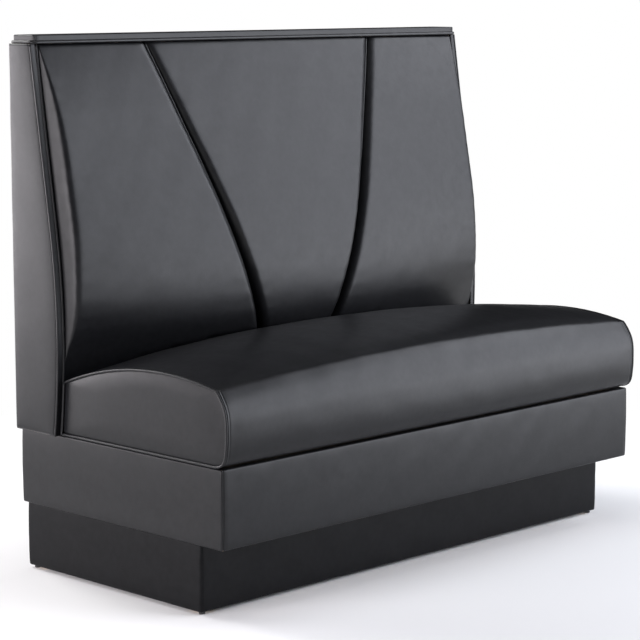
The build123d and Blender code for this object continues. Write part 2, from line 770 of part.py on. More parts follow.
def build_back_frame():
    """Board, ribs, rails and the outside back."""
    low, high = cushion_bottom_z, cushion_top_z
    board_outline = [(board_y(low), low), (board_y(high), high),
                     (board_y(high) + back_board_thickness, high),
                     (board_y(low) + back_board_thickness, low)]
    board = extrude(side_face(board_outline, -cushion_outer_x), 2 * cushion_outer_x, dir=(1, 0, 0))
    save("back_board", board)
    rib = back_rib()
    save("back_ribs", mirrored(rib), rib)
    save("back_top_rail", block(-gable_inner_x, gable_inner_x, frame_rear_y - top_rail_depth,
                                frame_rear_y, back_top_z - top_rail_height, back_top_z))
    bottom = block(-gable_inner_x, gable_inner_x, frame_rear_y - bottom_rail_depth, frame_rear_y,
                   back_bottom_z, back_bottom_z + bottom_rail_thickness)
    for x, y in bracket_bolt_places():
        bottom -= post_on_z(bolt_diameter, x, y, back_bottom_z - cut_overrun,
                            back_bottom_z + bottom_rail_thickness + cut_overrun)
    save("back_bottom_rail", bottom)
    save("outside_back_panel", block(-gable_outer_x, gable_outer_x, frame_rear_y, rear_y,
                                     back_bottom_z, back_top_z))


def cap_piping(half, front, rear, z):
    """Piping round the foot of the cap, one closed loop."""
    radius = cap_piping_diameter / 2
    loop = RectangleRounded(2 * (half - radius), rear - front - 2 * radius, cap_corner_radius)
    path = (Pos(0, (front + rear) / 2, z) * loop).wire()
    start = Plane(origin=path @ 0, z_dir=path % 0)
    return sweep(start * Circle(radius), path=path)


def build_cap():
    """Board, cover and piping along the top."""
    half = back_half - cap_end_inset
    front = border_top_y - cap_front_overhang
    rear = rear_y - cap_rear_inset
    board = block(-half + cap_cover_thickness, half - cap_cover_thickness,
                  front + cap_cover_thickness, rear - cap_cover_thickness,
                  back_top_z, cap_top_z - cap_cover_thickness)
    board = fillet(board.edges().filter_by(Axis.Z), cap_corner_radius)
    save("cap_board", board)
    cover_z = back_top_z + cap_piping_diameter + cap_piping_fit
    cover = block(-half, half, front, rear, cover_z, cap_top_z)
    cover = fillet(cover.edges().filter_by(Axis.Z), cap_corner_radius)
    cover = fillet(cover.faces().sort_by(Axis.Z)[-1].edges(), cap_edge_radius)
    save("cap_cover", cover - board)
    save("cap_piping", cap_piping(half + cap_piping_proud, front - cap_piping_proud,
                                  rear + cap_piping_proud,
                                  back_top_z + cap_piping_fit / 2 + cap_piping_diameter / 2))


def bracket():
    """Steel angle between a rib and the bottom rail, beside the right rib."""
    face_x = rib_offset + rib_thickness / 2
    floor_z = back_bottom_z + bottom_rail_thickness
    y_middle = frame_rear_y - bottom_rail_depth / 2
    y_low, y_high = y_middle - bracket_width / 2, y_middle + bracket_width / 2
    upright = block(face_x, face_x + bracket_thickness, y_low, y_high, floor_z, floor_z + bracket_leg)
    foot = block(face_x, face_x + bracket_leg, y_low, y_high, floor_z, floor_z + bracket_thickness)
    angle = upright + foot
    bend = [edge for edge in angle.edges().filter_by(Axis.Y)
            if abs(edge.center().X - face_x - bracket_thickness) < running_clearance
            and abs(edge.center().Z - floor_z - bracket_thickness) < running_clearance]
    angle = fillet(bend, bracket_bend_radius)
    reach = bracket_leg * bracket_hole_share
    return angle - post_on_z(bolt_diameter, face_x + reach, y_middle, floor_z - cut_overrun,
                             floor_z + bracket_leg)


def bracket_bolt():
    """Hexagon bolt and nut on their own axis, through foot, rail and deck."""
    head_z = back_bottom_z + bottom_rail_thickness + bracket_thickness
    nut_z = box_top_z - deck_thickness
    head = hexagon_on_z(nut_across_flats, head_z, bolt_head_height)
    shank = post_on_z(bolt_diameter, 0, 0, nut_z - nut_height - bolt_spare, head_z)
    nut = hexagon_on_z(nut_across_flats, nut_z - nut_height, nut_height)
    return head + shank + nut


def wood_screw(head_z, tip_z):
    """Pan head screw on its own axis, head at one height and tip at the other."""
    up = 1 if head_z > tip_z else -1
    far = head_z + up * screw_head_height
    head = post_on_z(screw_head_diameter, 0, 0, min(head_z, far), max(head_z, far))
    shank = post_on_z(screw_diameter, 0, 0, min(head_z, tip_z), max(head_z, tip_z))
    return head + shank


def build_fasteners():
    """Brackets, bolts and screws."""
    one = bracket()
    other = mirror(one, about=Plane(origin=(rib_offset, 0, 0), z_dir=(1, 0, 0)))
    save("back_brackets", mirrored(one), mirrored(other), other, one)
    save("bracket_bolts", *[Pos(x, y, 0) * bracket_bolt() for x, y in bracket_bolt_places()])
    seat_screw = wood_screw(box_top_z - deck_thickness, box_top_z + seat_screw_grip)
    save("seat_screws", *[Pos(x, y, 0) * seat_screw for x, y in seat_screw_places()])
    base_z = box_bottom_z + base_panel_thickness
    plinth_screw = wood_screw(base_z, box_bottom_z - plinth_screw_grip)
    save("plinth_screws", *[Pos(x, y, 0) * plinth_screw for x, y in plinth_screw_places()])


os.makedirs("parts", exist_ok=True)
build_glides()
build_plinth()
build_box()
build_seat()
build_back_cushions()
build_back_ends()
build_back_frame()
build_cap()
build_fasteners()
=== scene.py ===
"""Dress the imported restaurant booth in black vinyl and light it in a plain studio."""
import logging
import math
from dataclasses import dataclass, field
from enum import Enum

import bmesh
import bpy
import numpy as np
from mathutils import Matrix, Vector


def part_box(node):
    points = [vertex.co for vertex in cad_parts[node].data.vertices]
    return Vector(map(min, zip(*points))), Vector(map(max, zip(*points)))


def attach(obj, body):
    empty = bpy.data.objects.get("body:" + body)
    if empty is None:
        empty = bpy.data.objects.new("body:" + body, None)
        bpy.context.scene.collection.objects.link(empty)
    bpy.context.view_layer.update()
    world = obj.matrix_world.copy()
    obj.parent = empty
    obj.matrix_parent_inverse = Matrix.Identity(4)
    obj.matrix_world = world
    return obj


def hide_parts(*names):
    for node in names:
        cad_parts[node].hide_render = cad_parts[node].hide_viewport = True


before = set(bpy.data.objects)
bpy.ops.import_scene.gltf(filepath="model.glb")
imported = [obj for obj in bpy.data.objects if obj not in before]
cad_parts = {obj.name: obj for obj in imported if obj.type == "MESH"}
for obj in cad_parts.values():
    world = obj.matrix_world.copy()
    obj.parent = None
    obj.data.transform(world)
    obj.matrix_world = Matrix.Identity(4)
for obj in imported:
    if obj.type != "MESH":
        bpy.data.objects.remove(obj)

logging.basicConfig(level=logging.INFO, format="%(levelname)s %(message)s")
log = logging.getLogger("booth")

BOOTH = "booth"
CORNERS = ("front_left", "front_right", "rear_left", "rear_right")
SIDES = ("front", "rear", "left", "right")
MM = 1000

SETTLE_FRAMES = 20
FOAM_PRESSURE = 3.0
MOST_SWELL = 0.003

COOL = (0.95, 0.975, 1.06)
WARM = (1.02, 0.975, 1.02)
WHITE = (1.0, 1.0, 1.0)


class Panel(Enum):
    """The three cushions of the back."""

    LEFT = "left"
    CENTRE = "centre"
    RIGHT = "right"


class End(Enum):
    """The two ends of the bench, by the sign of X."""

    LEFT = -1
    RIGHT = 1


# Finishes


class Shader:
    """A material under construction, with short calls for its nodes."""

    def __init__(self, name: str) -> None:
        """Start a material with a Principled shader and object coordinates.

        Args:
            name: the material's name.
        """
        self.material = bpy.data.materials.new(name)
        self.material.use_nodes = True
        self.tree = self.material.node_tree
        self.surface = self.tree.nodes["Principled BSDF"]
        self.places = self.add("ShaderNodeTexCoord").outputs["Object"]

    def add(self, kind: str, **values: object) -> bpy.types.Node:
        """Add a node and set its plain properties.

        Args:
            kind: the node's type name.
            **values: properties of the node by name.

        Returns:
            The new node.
        """
        node = self.tree.nodes.new(kind)
        for key, value in values.items():
            setattr(node, key, value)
        return node

    def link(self, source: bpy.types.NodeSocket, target: bpy.types.NodeSocket) -> None:
        """Join two sockets."""
        self.tree.links.new(source, target)

    def noise(self, size: float, detail: float,
              stretch: tuple = (1, 1, 1)) -> bpy.types.NodeSocket:
        """Cloudy noise whose lumps are about one size.

        Args:
            size: width of a lump in metres.
            detail: how many finer layers it has.
            stretch: scale along X, Y and Z.

        Returns:
            The noise's value, around one half.
        """
        mapping = self.add("ShaderNodeMapping")
        mapping.inputs["Scale"].default_value = stretch
        self.link(self.places, mapping.inputs["Vector"])
        node = self.add("ShaderNodeTexNoise")
        node.inputs["Scale"].default_value = 1 / size
        node.inputs["Detail"].default_value = detail
        self.link(mapping.outputs["Vector"], node.inputs["Vector"])
        return node.outputs["Fac"]

    def cells(self, size: float) -> bpy.types.NodeSocket:
        """Distance from the middle of small rounded cells.

        Args:
            size: width of a cell in metres.

        Returns:
            The distance, from 0 in a cell's middle.
        """
        node = self.add("ShaderNodeTexVoronoi", feature="SMOOTH_F1")
        node.inputs["Scale"].default_value = 1 / size
        self.link(self.places, node.inputs["Vector"])
        return node.outputs["Distance"]

    def span(self, source: bpy.types.NodeSocket, low: float, high: float,
             start: float = 0.3, stop: float = 0.7) -> bpy.types.NodeSocket:
        """Carry a value's middle range over to another range.

        Args:
            source: the value.
            low: result at start.
            high: result at stop.
            start: lower end of the range that is read.
            stop: upper end of the range that is read.

        Returns:
            The mapped value.
        """
        node = self.add("ShaderNodeMapRange")
        for key, value in (("From Min", start), ("From Max", stop),
                           ("To Min", low), ("To Max", high)):
            node.inputs[key].default_value = value
        self.link(source, node.inputs["Value"])
        return node.outputs["Result"]

    def combine(self, operation: str, one: bpy.types.NodeSocket,
                two: bpy.types.NodeSocket) -> bpy.types.NodeSocket:
        """Work one value out from two.

        Args:
            operation: the sum's name, such as MULTIPLY.
            one: the first value.
            two: the second value.

        Returns:
            The result.
        """
        node = self.add("ShaderNodeMath", operation=operation)
        self.link(one, node.inputs[0])
        self.link(two, node.inputs[1])
        return node.outputs[0]

    def blend(self, source: bpy.types.NodeSocket, dark: tuple,
              light: tuple) -> bpy.types.NodeSocket:
        """Colour between two colours.

        Args:
            source: a value from 0 to 1.
            dark: colour at 0.
            light: colour at 1.

        Returns:
            The mixed colour.
        """
        ramp = self.add("ShaderNodeValToRGB")
        ramp.color_ramp.elements[0].color = (*dark, 1)
        ramp.color_ramp.elements[1].color = (*light, 1)
        self.link(source, ramp.inputs["Fac"])
        return ramp.outputs["Color"]

    def bump(self, *layers: tuple) -> None:
        """Stack bump layers on the surface.

        Args:
            *layers: pairs of a height value and its depth in metres.
        """
        normal = None
        for height, depth in layers:
            node = self.add("ShaderNodeBump")
            node.inputs["Distance"].default_value = depth
            node.inputs["Strength"].default_value = 1.0
            self.link(height, node.inputs["Height"])
            if normal is not None:
                self.link(normal, node.inputs["Normal"])
            normal = node.outputs["Normal"]
        self.link(normal, self.surface.inputs["Normal"])

    def colour(self, source: bpy.types.NodeSocket) -> None:
        """Use a colour as the surface's base colour."""
        self.link(source, self.surface.inputs["Base Color"])

    def roughness(self, source: bpy.types.NodeSocket) -> None:
        """Use a value as the surface's roughness."""
        self.link(source, self.surface.inputs["Roughness"])

    def plain(self, **values: object) -> None:
        """Set the surface's own sockets.

        Args:
            **values: socket values, with underscores for the spaces in the sockets' names.
        """
        for key, value in values.items():
            self.surface.inputs[key.replace("_", " ")].default_value = value


@dataclass(frozen=True)
class VinylFinish:
    """Semi-gloss upholstery vinyl with a fine leather grain.

    Each cloud is a pair: the size of its lumps in metres and its number of layers.
    """

    name: str
    dark: tuple = (0.005, 0.0052, 0.0062)
    light: tuple = (0.009, 0.0093, 0.0108)
    mottle: tuple = (0.012, 4.0)
    sheen: tuple = (0.02, 5.0)
    sheen_roughness: tuple = (0.36, 0.41)
    specular: float = 0.25
    grain: float = 0.0011
    grain_depth: float = 0.00004
    crease: tuple = (0.006, 3.0)
    crease_depth: float = 0.00005
    swell: tuple = (0.06, 1.0)
    swell_depth: float = 0.0001

    def material(self) -> bpy.types.Material:
        """Build the material.

        Returns:
            The vinyl material.
        """
        shader = Shader(self.name)
        mottle = shader.span(shader.noise(*self.mottle), 0, 1)
        shader.colour(shader.blend(mottle, self.dark, self.light))
        shader.roughness(shader.span(shader.noise(*self.sheen), *self.sheen_roughness))
        shader.bump((shader.noise(*self.swell), self.swell_depth),
                    (shader.noise(*self.crease), self.crease_depth),
                    (shader.cells(self.grain), self.grain_depth))
        shader.plain(Specular_IOR_Level=self.specular)
        return shader.material


@dataclass(frozen=True)
class CloudFinish:
    """A finish whose colour, roughness and height follow one cloud of grain, fibres or wear.

    A cloud is the size of its lumps in metres, its number of layers and, where it is drawn
    out, its scale along X, Y and Z.
    """

    name: str
    dark: tuple
    light: tuple
    cloud: tuple
    roughness: tuple
    cloud_depth: float = 0.0
    fine: tuple = ()
    fine_depth: float = 0.0
    metallic: float = 0.0

    def material(self) -> bpy.types.Material:
        """Build the material.

        Returns:
            The finished material.
        """
        shader = Shader(self.name)
        cloud = shader.noise(*self.cloud)
        shader.colour(shader.blend(shader.span(cloud, 0, 1), self.dark, self.light))
        shader.roughness(shader.span(cloud, *self.roughness))
        layers = [(cloud, self.cloud_depth)] if self.cloud_depth else []
        if self.fine:
            layers.append((shader.noise(*self.fine), self.fine_depth))
        shader.bump(*layers)
        shader.plain(Metallic=self.metallic)
        return shader.material


# Plinth vinyl: a lower specular, and a darker base colour that is painted shade for the toe kick recessed
# under the apron.
MATT_VINYL_PAINTED_SHADE = VinylFinish("matt_vinyl_painted_shade", dark=(0.003, 0.0031, 0.0038),
                         light=(0.006, 0.0062, 0.0072), specular=0.12)
PIPING_VINYL = VinylFinish("vinyl_piping", sheen_roughness=(0.34, 0.42), specular=0.3,
                           swell_depth=0.00005)
PLYWOOD = CloudFinish("plywood", dark=(0.42, 0.28, 0.15), light=(0.62, 0.46, 0.29),
                      cloud=(0.03, 6.0, (0.6, 8, 8)), roughness=(0.75, 0.6), cloud_depth=0.0004,
                      fine=(0.002, 2.0, (1, 10, 10)), fine_depth=0.0001)
ZINC = CloudFinish("zinc", dark=(0.434, 0.441, 0.455), light=(0.62, 0.63, 0.65),
                   cloud=(0.004, 5.0), roughness=(0.45, 0.25),
                   fine=(0.0006, 2.0), fine_depth=0.00004, metallic=1.0)
DUST_CLOTH = CloudFinish("dust_cloth", dark=(0.006, 0.006, 0.007), light=(0.03, 0.03, 0.032),
                         cloud=(0.0012, 6.0, (1, 4, 1)), roughness=(0.95, 0.8),
                         cloud_depth=0.0002)
GLIDE_NYLON = CloudFinish("glide_nylon", dark=(0.01, 0.01, 0.01), light=(0.035, 0.035, 0.035),
                          cloud=(0.0015, 5.0), roughness=(0.5, 0.7), cloud_depth=0.00005)


@dataclass
class Finishes:
    """Every finish on the booth, built once."""

    vinyl: bpy.types.Material = field(default_factory=VinylFinish("black_vinyl").material)
    matt_vinyl_painted_shade: bpy.types.Material = field(default_factory=MATT_VINYL_PAINTED_SHADE.material)
    piping: bpy.types.Material = field(default_factory=PIPING_VINYL.material)
    plywood: bpy.types.Material = field(default_factory=PLYWOOD.material)
    zinc: bpy.types.Material = field(default_factory=ZINC.material)
    cloth: bpy.types.Material = field(default_factory=DUST_CLOTH.material)
    nylon: bpy.types.Material = field(default_factory=GLIDE_NYLON.material)


# Mesh helpers


def make_object(name: str, points: np.ndarray, faces: list, material: bpy.types.Material) -> bpy.types.Object:
    """Make a smooth mesh object for a piece of the booth.

    Args:
        name: the piece's name.
        points: its points, one row each.
        faces: its faces, as lists of point numbers.
        material: its material.

    Returns:
        The new object.
    """
    mesh = bpy.data.meshes.new(name)
    mesh.from_pydata([tuple(point) for point in points], [], faces)
    turned = bmesh.new()
    turned.from_mesh(mesh)
    bmesh.ops.recalc_face_normals(turned, faces=turned.faces)
    turned.to_mesh(mesh)
    turned.free()
    mesh.shade_smooth()
    obj = bpy.data.objects.new(name, mesh)
    bpy.context.scene.collection.objects.link(obj)
    mesh.materials.append(material)
    return obj


def grid_faces(rows: int, columns: int, loop: bool, first: int = 0) -> list:
    """Faces of a grid of points that are numbered row by row.

    Args:
        rows: number of rows.
        columns: number of points in a row.
        loop: whether each row closes on itself.
        first: number of the grid's first point.

    Returns:
        Four-sided faces.
    """
    faces = []
    for row in range(rows - 1):
        for column in range(columns if loop else columns - 1):
            after = (column + 1) % columns
            low, high = first + row * columns, first + (row + 1) * columns
            faces.append([low + column, low + after, high + after, high + column])
    return faces


def tube_faces(rows: int, columns: int, joined: bool, first: int = 0) -> list:
    """Faces of a tube made of rings of points.

    Args:
        rows: number of rings.
        columns: number of points in a ring.
        joined: whether the last ring joins the first. Otherwise both ends are capped.
        first: number of the tube's first point.

    Returns:
        The tube's faces.
    """
    faces = grid_faces(rows, columns, True, first)
    last = first + (rows - 1) * columns
    if not joined:
        return faces + [list(range(first, first + columns))[::-1],
                        list(range(last, last + columns))]
    for column in range(columns):
        after = (column + 1) % columns
        faces.append([last + column, last + after, first + after, first + column])
    return faces


def subdivide(obj: bpy.types.Object) -> None:
    """Smooth a piece with one level of subdivision, kept in its own mesh.

    Args:
        obj: the piece.
    """
    modifier = obj.modifiers.new("Smooth", "SUBSURF")
    modifier.levels = modifier.render_levels = 1
    graph = bpy.context.evaluated_depsgraph_get()
    mesh = bpy.data.meshes.new_from_object(obj.evaluated_get(graph))
    obj.modifiers.clear()
    obj.data = mesh
    obj.data.shade_smooth()


def arc(start: np.ndarray, via: np.ndarray, end: np.ndarray, count: int) -> np.ndarray:
    """Points on the circle through three points in a plane.

    Args:
        start: the first point.
        via: a point on the way.
        end: the last point.
        count: how many points to make.

    Returns:
        The points from start to end.
    """
    start, via, end = (np.asarray(p, float) for p in (start, via, end))
    matrix = 2 * np.array([via - start, end - start])
    known = np.array([via @ via - start @ start, end @ end - start @ start])
    centre = np.linalg.solve(matrix, known)
    angles = [math.atan2(*(p - centre)[::-1]) for p in (start, via, end)]
    radius = np.linalg.norm(start - centre)
    turn = (angles[2] - angles[0]) % math.tau
    if (angles[1] - angles[0]) % math.tau > turn:
        turn -= math.tau
    steps = angles[0] + np.linspace(0, 1, count) * turn
    return centre + radius * np.column_stack([np.cos(steps), np.sin(steps)])


def bend(start: np.ndarray, start_way: tuple, end: np.ndarray, end_way: tuple, count: int,
         pull: float = 0.4) -> np.ndarray:
    """Points on a smooth curve that leaves and arrives in given directions.

    Args:
        start: the first point.
        start_way: direction at the start.
        end: the last point.
        end_way: direction at the end.
        count: how many points to make.
        pull: length of its handles as a share of the chord.

    Returns:
        The points from start to end.
    """
    reach = pull * np.linalg.norm(end - start)
    leave = start + reach * np.asarray(start_way) / np.linalg.norm(start_way)
    arrive = end - reach * np.asarray(end_way) / np.linalg.norm(end_way)
    t = np.linspace(0, 1, count)[:, None]
    return ((1 - t) ** 3 * start + 3 * (1 - t) ** 2 * t * leave
            + 3 * (1 - t) * t * t * arrive + t ** 3 * end)


def smooth_between(places: np.ndarray, values: np.ndarray, wanted: float) -> float:
    """Smooth curve through known values, without overshoot.

    Args:
        places: where the values are known, rising.
        values: the known values.
        wanted: where a value is wanted.

    Returns:
        The curve's value there.
    """
    wanted = min(max(wanted, places[0]), places[-1])
    slopes = np.diff(values) / np.diff(places)
    at = np.zeros(len(values))
    at[0], at[-1] = slopes[0], slopes[-1]
    for i in range(1, len(values) - 1):
        before, after = slopes[i - 1], slopes[i]
        at[i] = 0 if before * after <= 0 else 2 * before * after / (before + after)
    i = min(int(np.searchsorted(places, wanted, side="right")) - 1, len(values) - 2)
    step = places[i + 1] - places[i]
    t = (wanted - places[i]) / step
    return float((1 + 2 * t) * (1 - t) ** 2 * values[i] + t * (1 - t) ** 2 * step * at[i]
                 + t * t * (3 - 2 * t) * values[i + 1] + t * t * (t - 1) * step * at[i + 1])


@dataclass(frozen=True)
class Ripple:
    """Gentle unevenness in space, the same on each run.

    Its height and the length of its waves are in metres, and the seed shifts the pattern.
    """

    height: float
    size: float
    seed: float = 0.0

    def at(self, points: np.ndarray, shift: float = 0.0) -> np.ndarray:
        """Height of the unevenness at some points.

        Args:
            points: where it is read, with X, Y and Z along the last axis.
            shift: added to the seed.

        Returns:
            The heights, one for each point.
        """
        seed = self.seed + shift
        phase = points * (math.tau / self.size) + seed
        x, y, z = phase[..., 0], phase[..., 1], phase[..., 2]
        # The factors only keep the waves from lining up.
        wave = (np.sin(x + 1.7 * np.sin(0.6 * z + seed)) * np.cos(0.9 * z + 0.8 * np.sin(0.7 * x))
                + 0.5 * np.sin(1.9 * x - 1.3 * z + y + 2 * seed)) / 1.5
        return self.height * wave


def inflate(obj: bpy.types.Object, pinned: list) -> None:
    """Let the cover swell over its foam with a short cloth simulation.

    Args:
        obj: the piece.
        pinned: numbers of the points that its seams hold.
    """
    group = obj.vertex_groups.new(name="seams")
    group.add(pinned, 1.0, "REPLACE")
    modifier = obj.modifiers.new("Cover", "CLOTH")
    settings = modifier.settings
    settings.quality = 5
    settings.mass = 0.4
    settings.tension_stiffness = settings.compression_stiffness = 40
    settings.bending_stiffness = 8
    settings.vertex_group_mass = group.name
    settings.use_pressure = True
    settings.uniform_pressure_force = FOAM_PRESSURE
    settings.effector_weights.gravity = 0
    modifier.point_cache.frame_start, modifier.point_cache.frame_end = 1, SETTLE_FRAMES
    before = np.array([vertex.co for vertex in obj.data.vertices])
    for number in range(1, SETTLE_FRAMES + 1):
        bpy.context.scene.frame_set(number)
    graph = bpy.context.evaluated_depsgraph_get()
    after = np.array([vertex.co for vertex in obj.evaluated_get(graph).data.vertices])
    obj.modifiers.clear()
    obj.vertex_groups.clear()
    bpy.context.scene.frame_set(1)
    move = after - before
    move = move / (1 + np.linalg.norm(move, axis=1, keepdims=True) / MOST_SWELL)
    obj.data.vertices.foreach_set("co", (before + move).ravel())
    obj.data.update()
    log.info("%s swelled by up to %.1f mm", obj.name, MM * np.linalg.norm(move, axis=1).max())


def dress(material: bpy.types.Material, *nodes: str) -> None:
    """Give CAD nodes that stay as they are a finish.

    Args:
        material: the finish.
        *nodes: the nodes' names.
    """
    for node in nodes:
        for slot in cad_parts[node].material_slots:
            slot.material = material


@dataclass
class Piping:
    """Vinyl piping along a line: a round cord with small puckers."""

    name: str
    radius: float
    material: bpy.types.Material
    sides: int = 12
    pucker: float = 0.025
    pucker_turn: float = 1.3
    pucker_drift: tuple = (0.7, 0.37)
    hint: tuple = (0.31, -0.88, 0.36)

    def build(self, lines: list, closed: bool = False) -> bpy.types.Object:
        """Sweep the piping along its lines.

        Args:
            lines: arrays of points along the middle of the cord.
            closed: whether each line is a loop.

        Returns:
            One object with every run of the piping.
        """
        points, faces = [], []
        for line in lines:
            first = sum(len(run) for run in points)
            rings = self.rings(np.asarray(line, float), closed)
            points.append(rings.reshape(-1, 3))
            faces += tube_faces(len(rings), self.sides, closed, first)
        obj = make_object(self.name, np.vstack(points), faces, self.material)
        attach(obj, BOOTH)
        return obj

    def rings(self, line: np.ndarray, closed: bool) -> np.ndarray:
        """Rings of points round a line.

        Args:
            line: the points along its middle.
            closed: whether it is a loop.

        Returns:
            The rings, as an array of (ring, side, axis).
        """
        if closed:
            ahead, behind = np.roll(line, -1, 0), np.roll(line, 1, 0)
        else:
            ahead, behind = np.vstack([line[1:], line[-1:]]), np.vstack([line[:1], line[:-1]])
        tangent = ahead - behind
        tangent /= np.linalg.norm(tangent, axis=1, keepdims=True)
        side = np.cross(tangent, np.array(self.hint))
        side /= np.linalg.norm(side, axis=1, keepdims=True)
        up = np.cross(side, tangent)
        turn = np.linspace(0, math.tau, self.sides, endpoint=False)
        along = np.arange(len(line))[:, None]
        amount, pace = self.pucker_drift
        wave = np.sin(along * self.pucker_turn + amount * np.sin(along * pace))
        radius = self.radius * (1 + self.pucker * wave)
        return (line[:, None, :] + (radius * np.cos(turn))[..., None] * side[:, None, :]
                + (radius * np.sin(turn))[..., None] * up[:, None, :])


def resample(line: np.ndarray, step: float) -> np.ndarray:
    """The same line with points at an even spacing.

    Args:
        line: points along the line.
        step: spacing in metres.

    Returns:
        The new points.
    """
    line = np.asarray(line, float)
    run = np.concatenate([[0], np.cumsum(np.linalg.norm(np.diff(line, axis=0), axis=1))])
    wanted = np.linspace(0, run[-1], max(3, int(round(run[-1] / step))))
    return np.column_stack([np.interp(wanted, run, line[:, axis]) for axis in range(3)])


# The booth


@dataclass
class SeatForm:
    """The crowned seat: its side view at any place along the bench, in metres.

    The ways are the directions in which the side view passes its nose, roll and lip.
    """

    end_reach: float = 0.0045
    front_back: float = 0.0035
    rear_lean: float = 0.009
    rear_height: float = 0.105
    crown_height: float = 0.159
    crown_setback: float = 0.211
    front_top_height: float = 0.1435
    front_top_setback: float = 0.028
    nose_height: float = 0.082
    nose_setback: float = 0.0006
    roll_setback: float = 0.0025
    roll_height: float = 0.030
    lip_setback: float = 0.034
    end_draw_in: float = 0.003
    rear_swell: float = 0.042
    crown_swell: float = 0.034
    front_swell: float = 0.024
    swell_power: float = 2.2
    corner_way: tuple = (-0.66, -0.75)
    nose_way: tuple = (-0.02, -1)
    roll_way: tuple = (0.12, -1)
    lip_way: tuple = (1, -0.1)
    corner_pull: float = 0.4
    lip_pull: float = 0.5
    half: float = field(init=False)
    front: float = field(init=False)
    bottom: float = field(init=False)
    rear: float = field(init=False)

    def __post_init__(self) -> None:
        """Read the seat's room from the frame."""
        low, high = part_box("seat_cover")
        self.half = high.x + self.end_reach
        self.front = low.y + self.front_back
        self.bottom = low.z
        self.rear = high.y

    def swell(self, x: float) -> float:
        """Share of the crown at a place along the bench."""
        return 1 - min(1.0, abs(x) / self.half) ** self.swell_power

    def key_points(self, x: float) -> dict:
        """Named points of the side view at one X.

        Args:
            x: the place along the bench.

        Returns:
            The points as (y, z) pairs.
        """
        swell = self.swell(x)
        front = self.front + self.end_draw_in * (1 - swell)
        foot = self.bottom
        keys = {
            "rear_bottom": (self.rear, foot),
            "rear_top": (self.rear - self.rear_lean,
                         foot + self.rear_height + swell * self.rear_swell),
            "crown": (self.front + self.crown_setback,
                      foot + self.crown_height + swell * self.crown_swell),
            "front_top": (front + self.front_top_setback,
                          foot + self.front_top_height + swell * self.front_swell),
            "nose": (front + self.nose_setback,
                     foot + self.nose_height + swell * self.front_swell / 2),
            "roll": (front + self.roll_setback, foot + self.roll_height),
            "lip": (front + self.lip_setback, foot),
        }
        return {key: np.array(value) for key, value in keys.items()}

    def section(self, x: float, counts: tuple = (8, 40, 12, 16, 7)) -> np.ndarray:
        """Points from the rear foot over the crown and nose to the front lip.

        Args:
            x: the place along the bench.
            counts: points on the rear face, top, corner, front and lower roll.

        Returns:
            The points as rows of (y, z).
        """
        keys = self.key_points(x)
        rear, top, corner, face, roll = counts
        return np.vstack([
            np.linspace(keys["rear_bottom"], keys["rear_top"], rear),
            arc(keys["rear_top"], keys["crown"], keys["front_top"], top)[1:],
            bend(keys["front_top"], self.corner_way, keys["nose"], self.nose_way, corner,
                 self.corner_pull)[1:],
            bend(keys["nose"], self.nose_way, keys["roll"], self.roll_way, face)[1:],
            bend(keys["roll"], self.roll_way, keys["lip"], self.lip_way, roll,
                 self.lip_pull)[1:],
        ])


